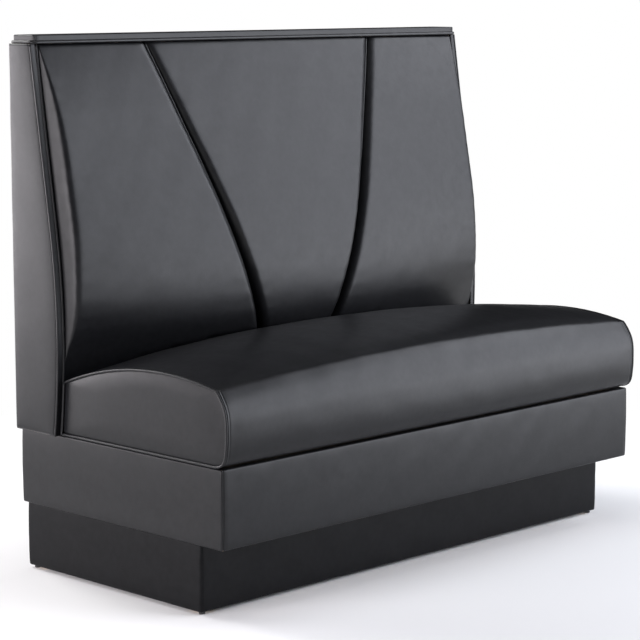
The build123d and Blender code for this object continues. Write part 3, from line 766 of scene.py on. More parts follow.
@dataclass
class BackForm:
    """The raked back: its border, swell and the line of its channels, in metres.

    Each row of shares holds a height, and there the swell at the ends and in the middle.
    """

    rake: float = 0.152
    border_setback: float = 0.0665
    gable_gap: float = 0.0005
    knee_height: float = 0.411
    lumbar_height: float = 0.191
    edge_swell: float = 0.037
    middle_swell: float = 0.062
    channel_top: float = 0.3250
    channel_bottom: float = 0.048
    board_top_setback: float = 0.047
    board_bottom_setback: float = 0.100
    shares: tuple = (
        (0.0, -0.30, -0.10), (0.07, -0.30, 0.02), (0.141, -0.25, 0.34), (0.214, 0.08, 0.70),
        (0.273, 0.50, 0.88), (0.339, 0.78, 0.96), (0.405, 0.89, 1.0), (0.538, 1.0, 0.95),
        (0.67, 0.95, 0.76), (0.80, 0.81, 0.48), (0.90, 0.48, 0.29), (1.0, 0.0, 0.10),
    )
    low: float = field(init=False)
    high: float = field(init=False)
    half: float = field(init=False)
    rear: float = field(init=False)
    cushion_low: float = field(init=False)
    cushion_high: float = field(init=False)
    table: np.ndarray = field(init=False)
    knee: float = field(init=False)
    lumbar: float = field(init=False)
    radius: float = field(init=False)
    lumbar_y: float = field(init=False)

    def __post_init__(self) -> None:
        """Read the back's room from the frame."""
        gable_low, gable_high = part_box("back_gable_right")
        self.low, self.high = gable_low.z, gable_high.z
        self.half = gable_low.x - self.gable_gap
        self.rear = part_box("outside_back_panel")[1].y
        low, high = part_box("back_cover_left")
        self.cushion_low, self.cushion_high = low.z, high.z
        self.table = np.array(self.shares)
        slope = math.atan(self.rake)
        self.knee = self.low + self.knee_height
        self.lumbar = self.low + self.lumbar_height
        self.radius = (self.knee - self.lumbar) / math.sin(slope)
        self.lumbar_y = self.raked(self.knee) - self.radius * (1 - math.cos(slope))

    def raked(self, z: float) -> float:
        """Y of the straight raked line of the border at a height."""
        return self.rear - self.border_setback - self.rake * (self.high - z)

    def border(self, z: float) -> float:
        """Y of the border's front: raked above the knee, and round to the lumbar below it.

        Args:
            z: the height.

        Returns:
            The Y there.
        """
        if z >= self.knee:
            return self.raked(z)
        return self.lumbar_y + self.radius - math.sqrt(self.radius ** 2 - (self.lumbar - z) ** 2)

    def rise(self, z: float) -> float:
        """Share of the way from the knee to the top at a height."""
        return max(0.0, (z - self.knee) / (self.high - self.knee))

    def climb(self, z: float) -> float:
        """Share of the way from the back's foot to its top at a height."""
        return (z - self.low) / (self.high - self.low)

    def board(self, z: float) -> float:
        """Y of the flat board behind the cushions at a height."""
        return self.rear - self.board_bottom_setback + self.climb(z) * (
            self.board_bottom_setback - self.board_top_setback)

    def channel(self, z: float) -> float:
        """Half distance between the channels at a height."""
        return self.channel_bottom + self.climb(z) * (self.channel_top - self.channel_bottom)

    def front(self, x: float, z: float) -> float:
        """Y of the cushions' front before their edges roll.

        Args:
            x: the place along the bench.
            z: the height.

        Returns:
            The Y there.
        """
        share = (z - self.cushion_low) / (self.cushion_high - self.cushion_low)
        edge = self.edge_swell * smooth_between(self.table[:, 0], self.table[:, 1], share)
        middle = self.middle_swell * smooth_between(self.table[:, 0], self.table[:, 2], share)
        return self.border(z) - edge - (middle - edge) * (1 - (x / self.half) ** 2)


@dataclass
class BackCushion:
    """One swelling cushion of the back, rolled at its edges."""

    panel: Panel
    form: BackForm
    seat: SeatForm
    material: bpy.types.Material
    channel_half_gap: float = 0.0032
    channel_depth: float = 0.020
    channel_top_depth: float = 0.011
    channel_roll: float = 0.020
    channel_foot: float = 0.004
    border_roll: float = 0.036
    border_roll_share: float = 0.75
    border_gap: float = 0.003
    least_roll: float = 0.005
    least_depth: float = 0.002
    wall_slant: float = 0.235
    wall_share: float = 0.38
    wall_share_rise: float = 0.24
    wall_pull: float = 0.5
    face_step: float = 0.004
    top_roll: float = 0.006
    top_gap: float = 0.0006
    top_rows: int = 5
    board_gap: float = 0.0008
    row_step: float = 0.0095
    front_columns: int = 44
    roll_columns: int = 9
    wall_columns: int = 3
    rear_columns: int = 12
    press: float = 0.004
    seat_gap: float = 0.002
    crown_points: int = 12
    pull_depth: float = 0.00045
    pull_columns: int = 4
    pull_fade: float = 40.0
    pull_waves: tuple = (210, 1.7, 37, 0.05)
    foam_waves: tuple = (Ripple(0.0004, 0.19), Ripple(0.0001, 0.07, 2.0))
    held_foot: int = 14
    held_top: int = 5
    held_side: int = 5

    @property
    def span(self) -> int:
        """Number of points in a row from one wall's foot over the front to the other's."""
        return self.front_columns + 2 * (self.roll_columns + self.wall_columns) - 2

    def depth(self, z: float) -> float:
        """How deep a channel is at a height."""
        return self.channel_depth + self.form.rise(z) * (
            self.channel_top_depth - self.channel_depth)

    def ends(self, z: float) -> tuple:
        """X of the cushion's two ends at a height.

        Args:
            z: the height.

        Returns:
            The lower and the higher X.
        """
        seam = self.form.channel(z)
        if self.panel is Panel.CENTRE:
            return -seam + self.channel_half_gap, seam - self.channel_half_gap
        outer, inner = self.form.half, seam + self.channel_half_gap
        return (-outer, -inner) if self.panel is Panel.LEFT else (inner, outer)

    def channel_side(self, x: float, inward: int, z: float) -> np.ndarray:
        """Plan points of the upright wall in a channel and the round roll over it.

        Args:
            x: X of the side.
            inward: sign of the way to the cushion's middle.
            z: the height.

        Returns:
            Points as rows of (x, y), foot first.
        """
        turn = np.linspace(0, math.pi / 2, self.roll_columns)
        front = self.form.front(x + inward * self.channel_roll, z)
        depth = self.depth(z)
        xs = x + inward * self.channel_roll * (1 - np.cos(turn))
        ys = front + depth * (1 - np.sin(turn))
        walls = np.linspace(front + depth + self.channel_foot, ys[0], self.wall_columns + 1)[:-1]
        return np.vstack([np.column_stack([np.full(self.wall_columns, x), walls]),
                          np.column_stack([xs, ys])])

    def border_side(self, x: float, inward: int, z: float) -> np.ndarray:
        """Plan points of the slanted wall at a border and the tight roll over it.

        Args:
            x: X of the side.
            inward: sign of the way to the cushion's middle.
            z: the height.

        Returns:
            Points as rows of (x, y), foot first.
        """
        foot = self.form.border(z) + self.border_gap
        swell = foot - self.form.front(x + inward * self.border_roll, z)
        width = min(self.border_roll, max(self.least_roll, self.border_roll_share * swell))
        front = self.form.front(x + inward * width, z)
        depth = max(self.least_depth, foot - front)
        share = self.wall_share + self.form.rise(z) * self.wall_share_rise
        knee = np.array([x + inward * self.wall_slant * width, front + share * depth])
        face = self.form.front(x + inward * (width + self.face_step), z) - front
        walls = np.linspace([x, foot], knee, self.wall_columns + 1)[:-1]
        over = bend(knee, knee - walls[0], np.array([x + inward * width, front]),
                    (inward * self.face_step, face), self.roll_columns, self.wall_pull)
        return np.vstack([walls, over])

    def row(self, z: float, recess: float) -> np.ndarray:
        """One closed plan outline of the cushion.

        Args:
            z: the height that sets its shape.
            recess: how far the front sits back, under the cap.

        Returns:
            Points as rows of (x, y, z).
        """
        low_x, high_x = self.ends(z)
        low_side = self.border_side if self.panel is Panel.LEFT else self.channel_side
        high_side = self.border_side if self.panel is Panel.RIGHT else self.channel_side
        left, right = low_side(low_x, 1, z), high_side(high_x, -1, z)[::-1]
        xs = np.linspace(left[-1, 0], right[0, 0], self.front_columns)[1:-1]
        front = np.column_stack([xs, [self.form.front(x, z) for x in xs]])
        rear_y = self.form.board(z) - self.board_gap
        rear = np.column_stack([np.linspace(high_x, low_x, self.rear_columns),
                                np.full(self.rear_columns, rear_y)])
        outline = np.vstack([left, front, right, rear])
        outline[:, 1] = np.minimum(outline[:, 1] + recess, rear_y)
        return np.column_stack([outline, np.full(len(outline), z)])

    def heights(self) -> list:
        """Heights of the rows, from the foot to the rolled top.

        Returns:
            Pairs of a height and how far the row is set back under the cap.
        """
        low, high = self.form.cushion_low, self.form.cushion_high - self.top_gap
        count = int((high - self.top_roll - low) / self.row_step)
        rows = [(z, 0.0) for z in np.linspace(low, high - self.top_roll, count)]
        for turn in np.linspace(0, math.pi / 2, self.top_rows + 1)[1:]:
            rows.append((high - self.top_roll * (1 - math.sin(turn)),
                         self.top_roll * (1 - math.cos(turn))))
        return rows

    def press_on_seat(self, points: np.ndarray) -> np.ndarray:
        """Push back what would lie deep in the seat, behind its rear face.

        Args:
            points: the cushion's points.

        Returns:
            The points after the push.
        """
        points = points.copy()
        for index, (x, y, z) in enumerate(points):
            key = self.seat.key_points(x)
            lean = (self.seat.rear - key["rear_top"][0]) / (key["rear_top"][1] - self.seat.bottom)
            rear = self.seat.rear - lean * (z - self.seat.bottom)
            crown = arc(key["rear_top"], key["crown"], key["front_top"], self.crown_points)
            top = np.interp(y, crown[::-1, 0], crown[::-1, 1])
            if y < rear and z < top - self.press:
                points[index, 1] = rear + self.seat_gap
        return points

    def pucker(self, points: np.ndarray, columns: int) -> np.ndarray:
        """Small pulls along the channels and a gentle unevenness of the foam.

        Args:
            points: the cushion's points, row by row.
            columns: number of points in a row.

        Returns:
            The uneven points.
        """
        grid = points.reshape(-1, columns, 3).copy()
        fine, amount, coarse, drift = self.pull_waves
        for column in range(self.span):
            from_wall = min(column, self.span - 1 - column) - self.wall_columns
            along = grid[:, column, 2]
            fade = math.exp(-max(0, from_wall - self.pull_columns) ** 2 / self.pull_fade)
            wave = np.sin(along * fine + amount * np.sin(along * coarse + column * drift))
            grid[:, column, 1] += fade * self.pull_depth * wave * (from_wall > 1)
        front = grid[:, :self.span]
        for ripple in self.foam_waves:
            front[..., 1] += ripple.at(front, len(self.panel.value))
        return grid.reshape(-1, 3)

    def build(self) -> bpy.types.Object:
        """Make the cushion.

        Returns:
            The cushion.
        """
        rows = [self.row(z, recess) for z, recess in self.heights()]
        count, columns = len(rows), len(rows[0])
        points = self.press_on_seat(self.pucker(np.vstack(rows), columns))
        obj = make_object("back_cushion_" + self.panel.value, points,
                          tube_faces(count, columns, False), self.material)
        held = [row * columns + column for row in range(count) for column in range(columns)
                if row < self.held_foot or row >= count - self.held_top
                or column < self.held_side or column >= self.span - self.held_side]
        inflate(obj, held)
        subdivide(obj)
        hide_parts("back_cover_" + self.panel.value, "back_foam_" + self.panel.value)
        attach(obj, BOOTH)
        return obj


@dataclass
class SeatCushion:
    """The seat cushion: crowned top, rolled nose and two end panels."""

    form: SeatForm
    material: bpy.types.Material
    columns: int = 110
    edge_gaps: tuple = (0.0, 0.0015, 0.003, 0.0042, 0.0052, 0.0062, 0.0076, 0.0095, 0.0125, 0.017)
    under_points: int = 10
    end_rings: int = 9
    end_step: float = 0.0012
    end_crown: float = 0.0035
    end_crown_share: float = 2.2
    welt_radius: float = 0.0025
    welt_counts: tuple = (12, 40, 14, 18, 8)
    welt_under_points: int = 38
    welt_stand: float = 0.6
    welt_step: float = 0.006
    stitch_gap: float = 0.0052
    stitch_depth: float = 0.0007
    stitch_width: float = 0.0011
    stitch_centre_height: float = 0.05
    end_fade: float = 0.05
    foot_height: float = 0.02
    top_waves: tuple = (Ripple(0.0007, 0.21, 4.0), Ripple(0.0002, 0.08, 1.0))
    front_wave: Ripple = Ripple(0.0004, 0.16, 7.0)
    front_reach: float = 0.05
    front_fade: float = 0.03
    pull_reach: float = 0.02
    pull_depth: float = 0.0004
    pull_wave: float = 260.0
    held_ends: int = 10
    free_columns: tuple = (12, 75)

    def build(self) -> bpy.types.Object:
        """Make the cushion.

        Returns:
            The cushion.
        """
        edge = self.form.half - 2 * self.welt_radius
        near = [edge - gap for gap in self.edge_gaps]
        middle = np.linspace(-near[-1], near[-1], self.columns)
        rows = []
        for x in np.concatenate([[-x for x in near[:-1]], middle, near[:-1][::-1]]):
            outline = self.outline(x)
            rows.append(np.column_stack([np.full(len(outline), x), outline]))
        count = len(rows[0])
        body = self.unevenness(np.vstack(rows))
        faces = grid_faces(len(rows), count, True)
        points = [body]
        for end in End:
            start = 0 if end is End.LEFT else (len(rows) - 1) * count
            first = sum(len(part) for part in points)
            panel, panel_faces = self.end_panel(body[start:start + count], start, first, end)
            points.append(panel)
            faces += panel_faces
        obj = make_object("seat_cushion", np.vstack(points), faces, self.material)
        low, high = self.free_columns
        held = [row * count + column for row in range(len(rows)) for column in range(count)
                if row < self.held_ends or row >= len(rows) - self.held_ends
                or not low <= column < high]
        held += list(range(len(rows) * count, len(obj.data.vertices)))
        inflate(obj, held)
        subdivide(obj)
        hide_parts("seat_cover", "seat_foam")
        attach(obj, BOOTH)
        return obj

    def outline(self, x: float) -> np.ndarray:
        """The closed side view at one X: the section and the flat underside.

        Args:
            x: the place along the bench.

        Returns:
            The points as rows of (y, z).
        """
        section = self.form.section(x)
        under = np.linspace(section[-1], section[0], self.under_points + 2)[1:-1]
        return np.vstack([section, under])

    def unevenness(self, body: np.ndarray) -> np.ndarray:
        """Add the foam's gentle unevenness, small pulls at the end seams and their stitching.

        Args:
            body: the cushion's points, without its end panels.

        Returns:
            The uneven points.
        """
        body = body.copy()
        form = self.form
        inner = np.clip((form.half - np.abs(body[:, 0])) / self.end_fade, 0, 1)
        top = body[:, 2] > form.bottom + self.foot_height
        body[:, 2] += top * inner * sum(ripple.at(body) for ripple in self.top_waves)
        front = np.clip((form.front + self.front_reach - body[:, 1]) / self.front_fade, 0, 1) * top
        body[:, 1] += front * inner * self.front_wave.at(body)
        near_end = np.exp(-((form.half - np.abs(body[:, 0])) / self.pull_reach) ** 2)
        body[:, 2] -= top * near_end * self.pull_depth * (1 + np.sin(body[:, 1] * self.pull_wave))
        from_edge = form.half - 2 * self.welt_radius - np.abs(body[:, 0])
        stitch = np.exp(-((from_edge - self.stitch_gap) / self.stitch_width) ** 2) * top
        centre = np.array([(form.front + form.rear) / 2, form.bottom + self.stitch_centre_height])
        inward = centre - body[:, 1:]
        inward /= np.linalg.norm(inward, axis=1, keepdims=True)
        body[:, 1:] += inward * (stitch * self.stitch_depth)[:, None]
        return body

    def end_panel(self, ring: np.ndarray, start: int, first: int, end: End) -> tuple:
        """Rings of the slightly crowned end panel, from the seam to its middle.

        Args:
            ring: the seam's points.
            start: number of the seam's first point.
            first: number that the panel's first point will have.
            end: which end this is.

        Returns:
            The panel's points and faces.
        """
        middle = ring[:, 1:].mean(0)
        rings = []
        for step in range(1, self.end_rings + 1):
            share = step / (self.end_rings + 1)
            plan = ring[:, 1:] + (middle - ring[:, 1:]) * share
            crown = math.sin(min(1.0, share * self.end_crown_share) * math.pi / 2)
            x = ring[0, 0] + end.value * (self.end_step + self.end_crown * crown)
            rings.append(np.column_stack([np.full(len(ring), x), plan]))
        count = len(ring)
        points = np.vstack(rings + [np.array([[rings[-1][0, 0], *middle]])])
        chain = [start] + [first + step * count for step in range(self.end_rings)]
        tip = first + self.end_rings * count
        faces = []
        for column in range(count):
            after = (column + 1) % count
            for low, high in zip(chain, chain[1:]):
                faces.append([low + column, high + column, high + after, low + after])
            faces.append([chain[-1] + column, tip, chain[-1] + after])
        if end is End.RIGHT:
            faces = [face[::-1] for face in faces]
        return points, faces

    def welts(self, material: bpy.types.Material) -> bpy.types.Object:
        """Piping round both end panels.

        Args:
            material: the piping's finish.

        Returns:
            The piping.
        """
        lines = []
        for end in End:
            x = end.value * (self.form.half - self.welt_radius)
            section = self.form.section(x, self.welt_counts)
            under = np.linspace(section[-1], section[0], self.welt_under_points + 2)[1:-1]
            loop = np.vstack([section, under])
            along = np.roll(loop, -1, 0) - np.roll(loop, 1, 0)
            along /= np.linalg.norm(along, axis=1, keepdims=True)
            outward = np.column_stack([-along[:, 1], along[:, 0]])
            loop = loop + outward * self.welt_radius * self.welt_stand
            line = np.column_stack([np.full(len(loop) + 1, x), np.vstack([loop, loop[:1]])])
            lines.append(resample(line, self.welt_step)[:-1])
        obj = Piping("seat_end_piping", self.welt_radius, material).build(lines, closed=True)
        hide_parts("seat_end_welts")
        return obj


@dataclass
class ChannelWelts:
    """Piping that lies in the two channels of the back."""

    cushion: BackCushion
    material: bpy.types.Material
    radius: float = 0.003
    lift: float = 0.0015
    foot_height: float = 0.15
    top_gap: float = 0.002
    points: int = 60
    step: float = 0.007

    def build(self) -> bpy.types.Object:
        """Make both runs of piping.

        Returns:
            The piping.
        """
        form = self.cushion.form
        heights = np.linspace(form.cushion_low + self.foot_height,
                              form.cushion_high - self.top_gap, self.points)
        lines = []
        for end in End:
            line = []
            for z in heights:
                x = form.channel(z)
                front = form.front(x + self.cushion.channel_roll, z)
                line.append((end.value * x, front + self.cushion.depth(z) - self.lift, z))
            lines.append(resample(np.array(line), self.step))
        obj = Piping("channel_piping", self.radius, self.material).build(lines)
        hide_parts("back_channel_welts")
        return obj


@dataclass
class BorderTrim:
    """Piping and strips down both ends of the back."""

    form: BackForm
    finishes: Finishes
    radius: float = 0.0024
    gable_gap: float = 0.0001
    inner_forward: float = 0.0012
    top_gap: float = 0.0005
    points: int = 110
    step: float = 0.006

    def build(self) -> bpy.types.Object:
        """Make the four runs of piping and dress the strips.

        Returns:
            The piping.
        """
        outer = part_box("border_welts")[1].x - self.radius
        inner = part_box("back_gable_right")[0].x + self.radius + self.gable_gap
        heights = np.linspace(self.form.low, self.form.high - self.top_gap, self.points)
        lines = []
        for end in End:
            for x, forward in ((outer, 0.0), (inner, self.inner_forward)):
                line = [(end.value * x, self.form.border(z) + self.radius - forward, z)
                        for z in heights]
                lines.append(resample(np.array(line), self.step))
        obj = Piping("border_piping", self.radius, self.finishes.piping).build(lines)
        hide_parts("border_welts")
        dress(self.finishes.vinyl, "border_strips")
        return obj


@dataclass
class CapPiping:
    """Piping round the foot of the cap."""

    finishes: Finishes
    radius: float = 0.0034
    corner: float = 0.006
    corner_points: int = 7
    reach: float = 0.002
    step: float = 0.006

    def build(self) -> bpy.types.Object:
        """Make the cap's piping.

        Returns:
            The piping.
        """
        low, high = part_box("cap_piping")
        half = high.x - self.radius + self.reach - self.corner
        front = low.y + self.radius + self.corner
        rear = high.y - self.radius + self.reach - self.corner
        z = (low.z + high.z) / 2
        line = []
        for x, y, start in ((half, rear, 0), (-half, rear, 90),
                            (-half, front, 180), (half, front, 270)):
            for turn in np.radians(start + np.linspace(0, 90, self.corner_points)):
                line.append((x + self.corner * math.cos(turn), y + self.corner * math.sin(turn), z))
        line.append(line[0])
        loop = resample(np.array(line), self.step)[:-1]
        cord = Piping("cap_piping_cord", self.radius, self.finishes.piping)
        obj = cord.build([loop], closed=True)
        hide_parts("cap_piping")
        return obj


@dataclass
class SewnBand:
    """Vinyl round a box, with a sewn seam beside each upright corner.

    Its sections are lists of (inward, height, seam) rows: how far a row lies inside the
    box, its Z, and the share of the seams' depth there.
    """

    name: str
    nodes: tuple
    material: bpy.types.Material
    corner: float = 0.006
    corner_points: int = 19
    edge: float = 0.0035
    edge_rows: int = 7
    seam_depth: float = 0.0016
    seam_width: float = 13.0
    seam_angle: float = 22.0
    least_corner: float = 0.0006
    step: float = 0.009
    low: Vector = field(init=False)
    high: Vector = field(init=False)

    def __post_init__(self) -> None:
        """Read the band's room from the frame."""
        boxes = [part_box(node) for node in self.nodes]
        self.low = Vector([min(box[0][axis] for box in boxes) for axis in range(3)])
        self.high = Vector([max(box[1][axis] for box in boxes) for axis in range(3)])

    def plan(self, inward: float, seam: float) -> np.ndarray:
        """Points round the box at one inward distance.

        Args:
            inward: distance from the box's own faces.
            seam: share of the seams' depth at this height.

        Returns:
            Points as rows of (x, y).
        """
        radius = max(self.corner - inward, self.least_corner)
        set_in = inward + radius
        left, right = self.low.x + set_in, self.high.x - set_in
        front, rear = self.low.y + set_in, self.high.y - set_in
        # Each corner has the angle where its arc starts and the angle that its seam is near.
        corners = ((right, front, -90, -90), (right, rear, 0, 90),
                   (left, rear, 90, 90), (left, front, 180, 270))
        arcs = []
        for x, y, start, facing in corners:
            degrees = start + np.linspace(0, 90, self.corner_points)
            away = np.abs(np.abs(degrees - facing) - self.seam_angle)
            reach = radius - seam * self.seam_depth * np.exp(-(away / self.seam_width) ** 2)
            angles = np.radians(degrees)
            arcs.append(np.column_stack([x + reach * np.cos(angles), y + reach * np.sin(angles)]))
        lengths = (self.high.y - self.low.y, self.high.x - self.low.x)
        points = []
        for index, turn in enumerate(arcs):
            ahead = arcs[(index + 1) % len(arcs)][0]
            shares = np.linspace(0, 1, max(3, round(lengths[index % 2] / self.step)))
            points += [turn, turn[-1] + (ahead - turn[-1]) * shares[1:-1, None]]
        return np.vstack(points)

    def top_edge(self, top: float) -> list:
        """The rounded top edge as a section, from above to outside.

        Args:
            top: height of the band's top.

        Returns:
            The rows.
        """
        turns = np.linspace(0, math.pi / 2, self.edge_rows)
        return [(self.edge * (1 - math.sin(turn)), top - self.edge * (1 - math.cos(turn)),
                 turn / math.pi * 2) for turn in turns]

    def sweep(self, section: list) -> np.ndarray:
        """Carry a section round the box.

        Args:
            section: its rows.

        Returns:
            The points as an array of (row, column, axis).
        """
        rows = []
        for inward, z, seam in section:
            plan = self.plan(inward, seam)
            rows.append(np.column_stack([plan, np.full(len(plan), z)]))
        return np.array(rows)

    def finish(self, points: np.ndarray, joined: bool) -> bpy.types.Object:
        """Make the object in place of its nodes.

        Args:
            points: its points as an array of (row, column, axis).
            joined: whether the section is closed. Otherwise the ends are capped.

        Returns:
            The band.
        """
        rows, columns, _ = points.shape
        obj = make_object(self.name, points.reshape(-1, 3), tube_faces(rows, columns, joined),
                          self.material)
        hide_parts(*self.nodes)
        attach(obj, BOOTH)
        return obj


@dataclass
class WrappedBox(SewnBand):
    """The vinyl of the apron or plinth, turned over its top and under its foot."""

    turn_over: float = 0.045
    turn_over_rows: int = 4
    turn_under: float = 0.008
    thickness: float = 0.0025
    fold: float = 0.0008
    bulge: float = 0.0010
    bulge_power: float = 0.6
    face_rows: int = 17
    foot_rows: int = 5
    waves: tuple = (Ripple(0.0005, 0.17, 3.0), Ripple(0.0002, 0.05, 5.0))
    wave_fade: float = 0.02
    end_depth: float = 0.002
    face_depth: float = 0.001

    def build(self) -> bpy.types.Object:
        """Make the wrap as one closed band.

        Returns:
            The wrap.
        """
        return self.finish(self.unevenness(self.sweep(self.section())), joined=True)

    def section(self) -> list:
        """The band's closed section, from the turned-over top round to its inside.

        Returns:
            The rows.
        """
        low, high, edge = self.low.z, self.high.z, self.edge
        top, foot = high + self.fold, low - self.fold
        rows = [(edge + (self.turn_over - edge) * share, top, 0.0)
                for share in np.linspace(1, 0, self.turn_over_rows, endpoint=False)]
        rows += self.top_edge(top)
        for share in np.linspace(0, 1, self.face_rows + 1)[1:-1]:
            bulge = self.bulge * math.sin(math.pi * share) ** self.bulge_power
            rows.append((-bulge, top - edge + (foot - top + 2 * edge) * share, 1.0))
        rows += [(edge * (1 - math.cos(t)), foot + edge * (1 - math.sin(t)), 1.0)
                 for t in np.linspace(0, math.pi / 2, self.foot_rows)]
        return rows + [(self.turn_under, foot, 0.0), (self.turn_under, low, 0.0),
                       (self.thickness, low, 0.0), (self.thickness, high, 0.0),
                       (self.turn_over, high, 0.0)]

    def unevenness(self, points: np.ndarray) -> np.ndarray:
        """Lift the flat faces by a gentle waviness that ends at the edges.

        Args:
            points: the wrap's points as an array of (row, column, axis).

        Returns:
            The uneven points.
        """
        points = points.copy()
        x, y, z = points[..., 0], points[..., 1], points[..., 2]
        fade = np.clip((self.high.z - z) / self.wave_fade, 0, 1) * np.clip(
            (z - self.low.z) / self.wave_fade, 0, 1)
        wave = fade * sum(ripple.at(points) for ripple in self.waves)
        on_end = np.clip((np.abs(x) - self.high.x + self.end_depth) / self.face_depth, 0, 1)
        x += on_end * np.sign(x) * wave
        y -= (y < self.low.y + self.face_depth) * wave
        return points


@dataclass
class CapCover(SewnBand):
    """The cover along the top, with seams at its corners."""

    side_rows: int = 3
    top_rows: int = 4

    def build(self) -> bpy.types.Object:
        """Make the cover.

        Returns:
            The cover.
        """
        low, high, edge = self.low.z, self.high.z, self.edge
        middle = (self.high.y - self.low.y) / 2 - 2 * self.least_corner
        sides = np.linspace(low + edge / 2, high - edge, self.side_rows + 1)[:-1]
        section = [(edge, low, 0.0), (edge / 3, low, 0.5), (0.0, low + edge / 3, 1.0)]
        section += [(0.0, z, 1.0) for z in sides]
        section += self.top_edge(high)[::-1]
        section += [(edge + (middle - edge) * share, high, 0.0)
                    for share in np.linspace(0, 1, self.top_rows + 1)[1:]]
        return self.finish(self.sweep(section), joined=False)


@dataclass
class SidePanel:
    """The lightly padded vinyl panel on one end of the back."""

    end: End
    form: BackForm
    material: bpy.types.Material
    edge: float = 0.0025
    crown: float = 0.0014
    crown_reach: float = 0.014
    rows: int = 110
    columns: int = 34
    row_crowding: float = 0.4
    column_crowding: float = 0.55
    setback_samples: int = 200
    wave: Ripple = Ripple(0.00035, 0.21, 6.0)
    wave_start: float = 0.19
    wave_fade: float = 0.05

    def shares(self, count: int, crowding: float) -> np.ndarray:
        """Shares from 0 to 1 that crowd towards both ends.

        Args:
            count: how many shares to make.
            crowding: 0 for an even spacing, 1 for the most crowded one.

        Returns:
            The shares, rising.
        """
        crowded = (1 - np.cos(np.linspace(0, math.pi, count))) / 2
        return crowding * crowded + (1 - crowding) * np.linspace(0, 1, count)

    def face(self, low: Vector, high: Vector) -> np.ndarray:
        """Points of the panel's outer face, rolled at its edges and gently crowned.

        Args:
            low: lowest corner of the panel's room.
            high: highest corner of the panel's room.

        Returns:
            The points as rows of (x, y, z), from the foot up.
        """
        outer = max(abs(low.x), abs(high.x))
        samples = np.linspace(low.z, high.z, self.setback_samples)
        setback = low.y - min(self.form.border(z) for z in samples)
        across = self.shares(self.columns, self.column_crowding)
        points = []
        for z in low.z + (high.z - low.z) * self.shares(self.rows, self.row_crowding):
            front = self.form.border(z) + setback
            for y in front + (high.y - front) * across:
                gap = min(y - front, high.y - y, z - low.z)
                roll = self.edge - math.sqrt(
                    max(0.0, self.edge ** 2 - max(0.0, self.edge - gap) ** 2))
                swell = self.crown * (1 - math.exp(-gap / self.crown_reach))
                x = self.end.value * (outer - roll + swell - self.crown / 3)
                points.append((x, y, z))
        points = np.array(points)
        fade = np.clip((points[:, 1] - self.wave_start) / self.wave_fade, 0, 1)
        points[:, 0] += self.wave.at(points) * fade
        return points

    def build(self) -> bpy.types.Object:
        """Make the panel.

        Returns:
            The panel.
        """
        node = "back_side_panel_" + self.end.name.lower()
        low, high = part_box(node)
        face = self.face(low, high)
        back = face.copy()
        back[:, 0] = self.end.value * min(abs(low.x), abs(high.x))
        count = len(face)
        numbers = np.arange(count).reshape(self.rows, self.columns)
        faces = grid_faces(self.rows, self.columns, False) + [
            side[::-1] for side in grid_faces(self.rows, self.columns, False, count)]
        rim = [*numbers[0], *numbers[1:, -1], *numbers[-1, -2::-1], *numbers[-2:0:-1, 0]]
        rim = [int(number) for number in rim]
        for one, two in zip(rim, rim[1:] + rim[:1]):
            faces.append([one, count + one, count + two, two])
        obj = make_object("side_panel_" + self.end.name.lower(), np.vstack([face, back]), faces,
                          self.material)
        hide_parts(node)
        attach(obj, BOOTH)
        return obj


@dataclass
class Carcass:
    """The nodes that keep their CAD shape."""

    finishes: Finishes

    def build(self) -> None:
        """Give each node its finish."""
        dress(self.finishes.vinyl, "outside_back_panel", "cap_board")
        dress(self.finishes.plywood, "plinth_corner_posts", "plinth_front_rail",
              "plinth_rear_rail", "plinth_end_rail_left", "plinth_end_rail_right",
              "plinth_cross_rails", "box_front_rail", "box_rear_rail", "box_end_rail_left",
              "box_end_rail_right", "box_cross_rails", "box_base_panel", "seat_deck",
              "seat_board", "back_gable_left", "back_gable_right", "back_board", "back_ribs",
              "back_top_rail", "back_bottom_rail")
        dress(self.finishes.zinc, "back_brackets", "bracket_bolts", "seat_screws",
              "plinth_screws", "threaded_inserts",
              *["glide_stud_" + corner for corner in CORNERS])
        dress(self.finishes.nylon, *["glide_pad_" + corner for corner in CORNERS])
        dress(self.finishes.cloth, "dust_cover")


@dataclass
class Lamp:
    """A soft rectangular lamp."""

    name: str
    place: tuple
    target: tuple
    size: tuple
    watts: float
    tint: tuple = WHITE

    def build(self) -> None:
        """Make the lamp and aim it."""
        data = bpy.data.lights.new(self.name, "AREA")
        data.shape = "RECTANGLE"
        data.color = self.tint
        data.size, data.size_y = self.size
        data.energy = self.watts
        lamp = bpy.data.objects.new(self.name, data)
        lamp.location = self.place
        aim = Vector(self.target) - Vector(self.place)
        lamp.rotation_mode = "QUATERNION"
        lamp.rotation_quaternion = aim.to_track_quat("-Z", "Y")
        bpy.context.scene.collection.objects.link(lamp)


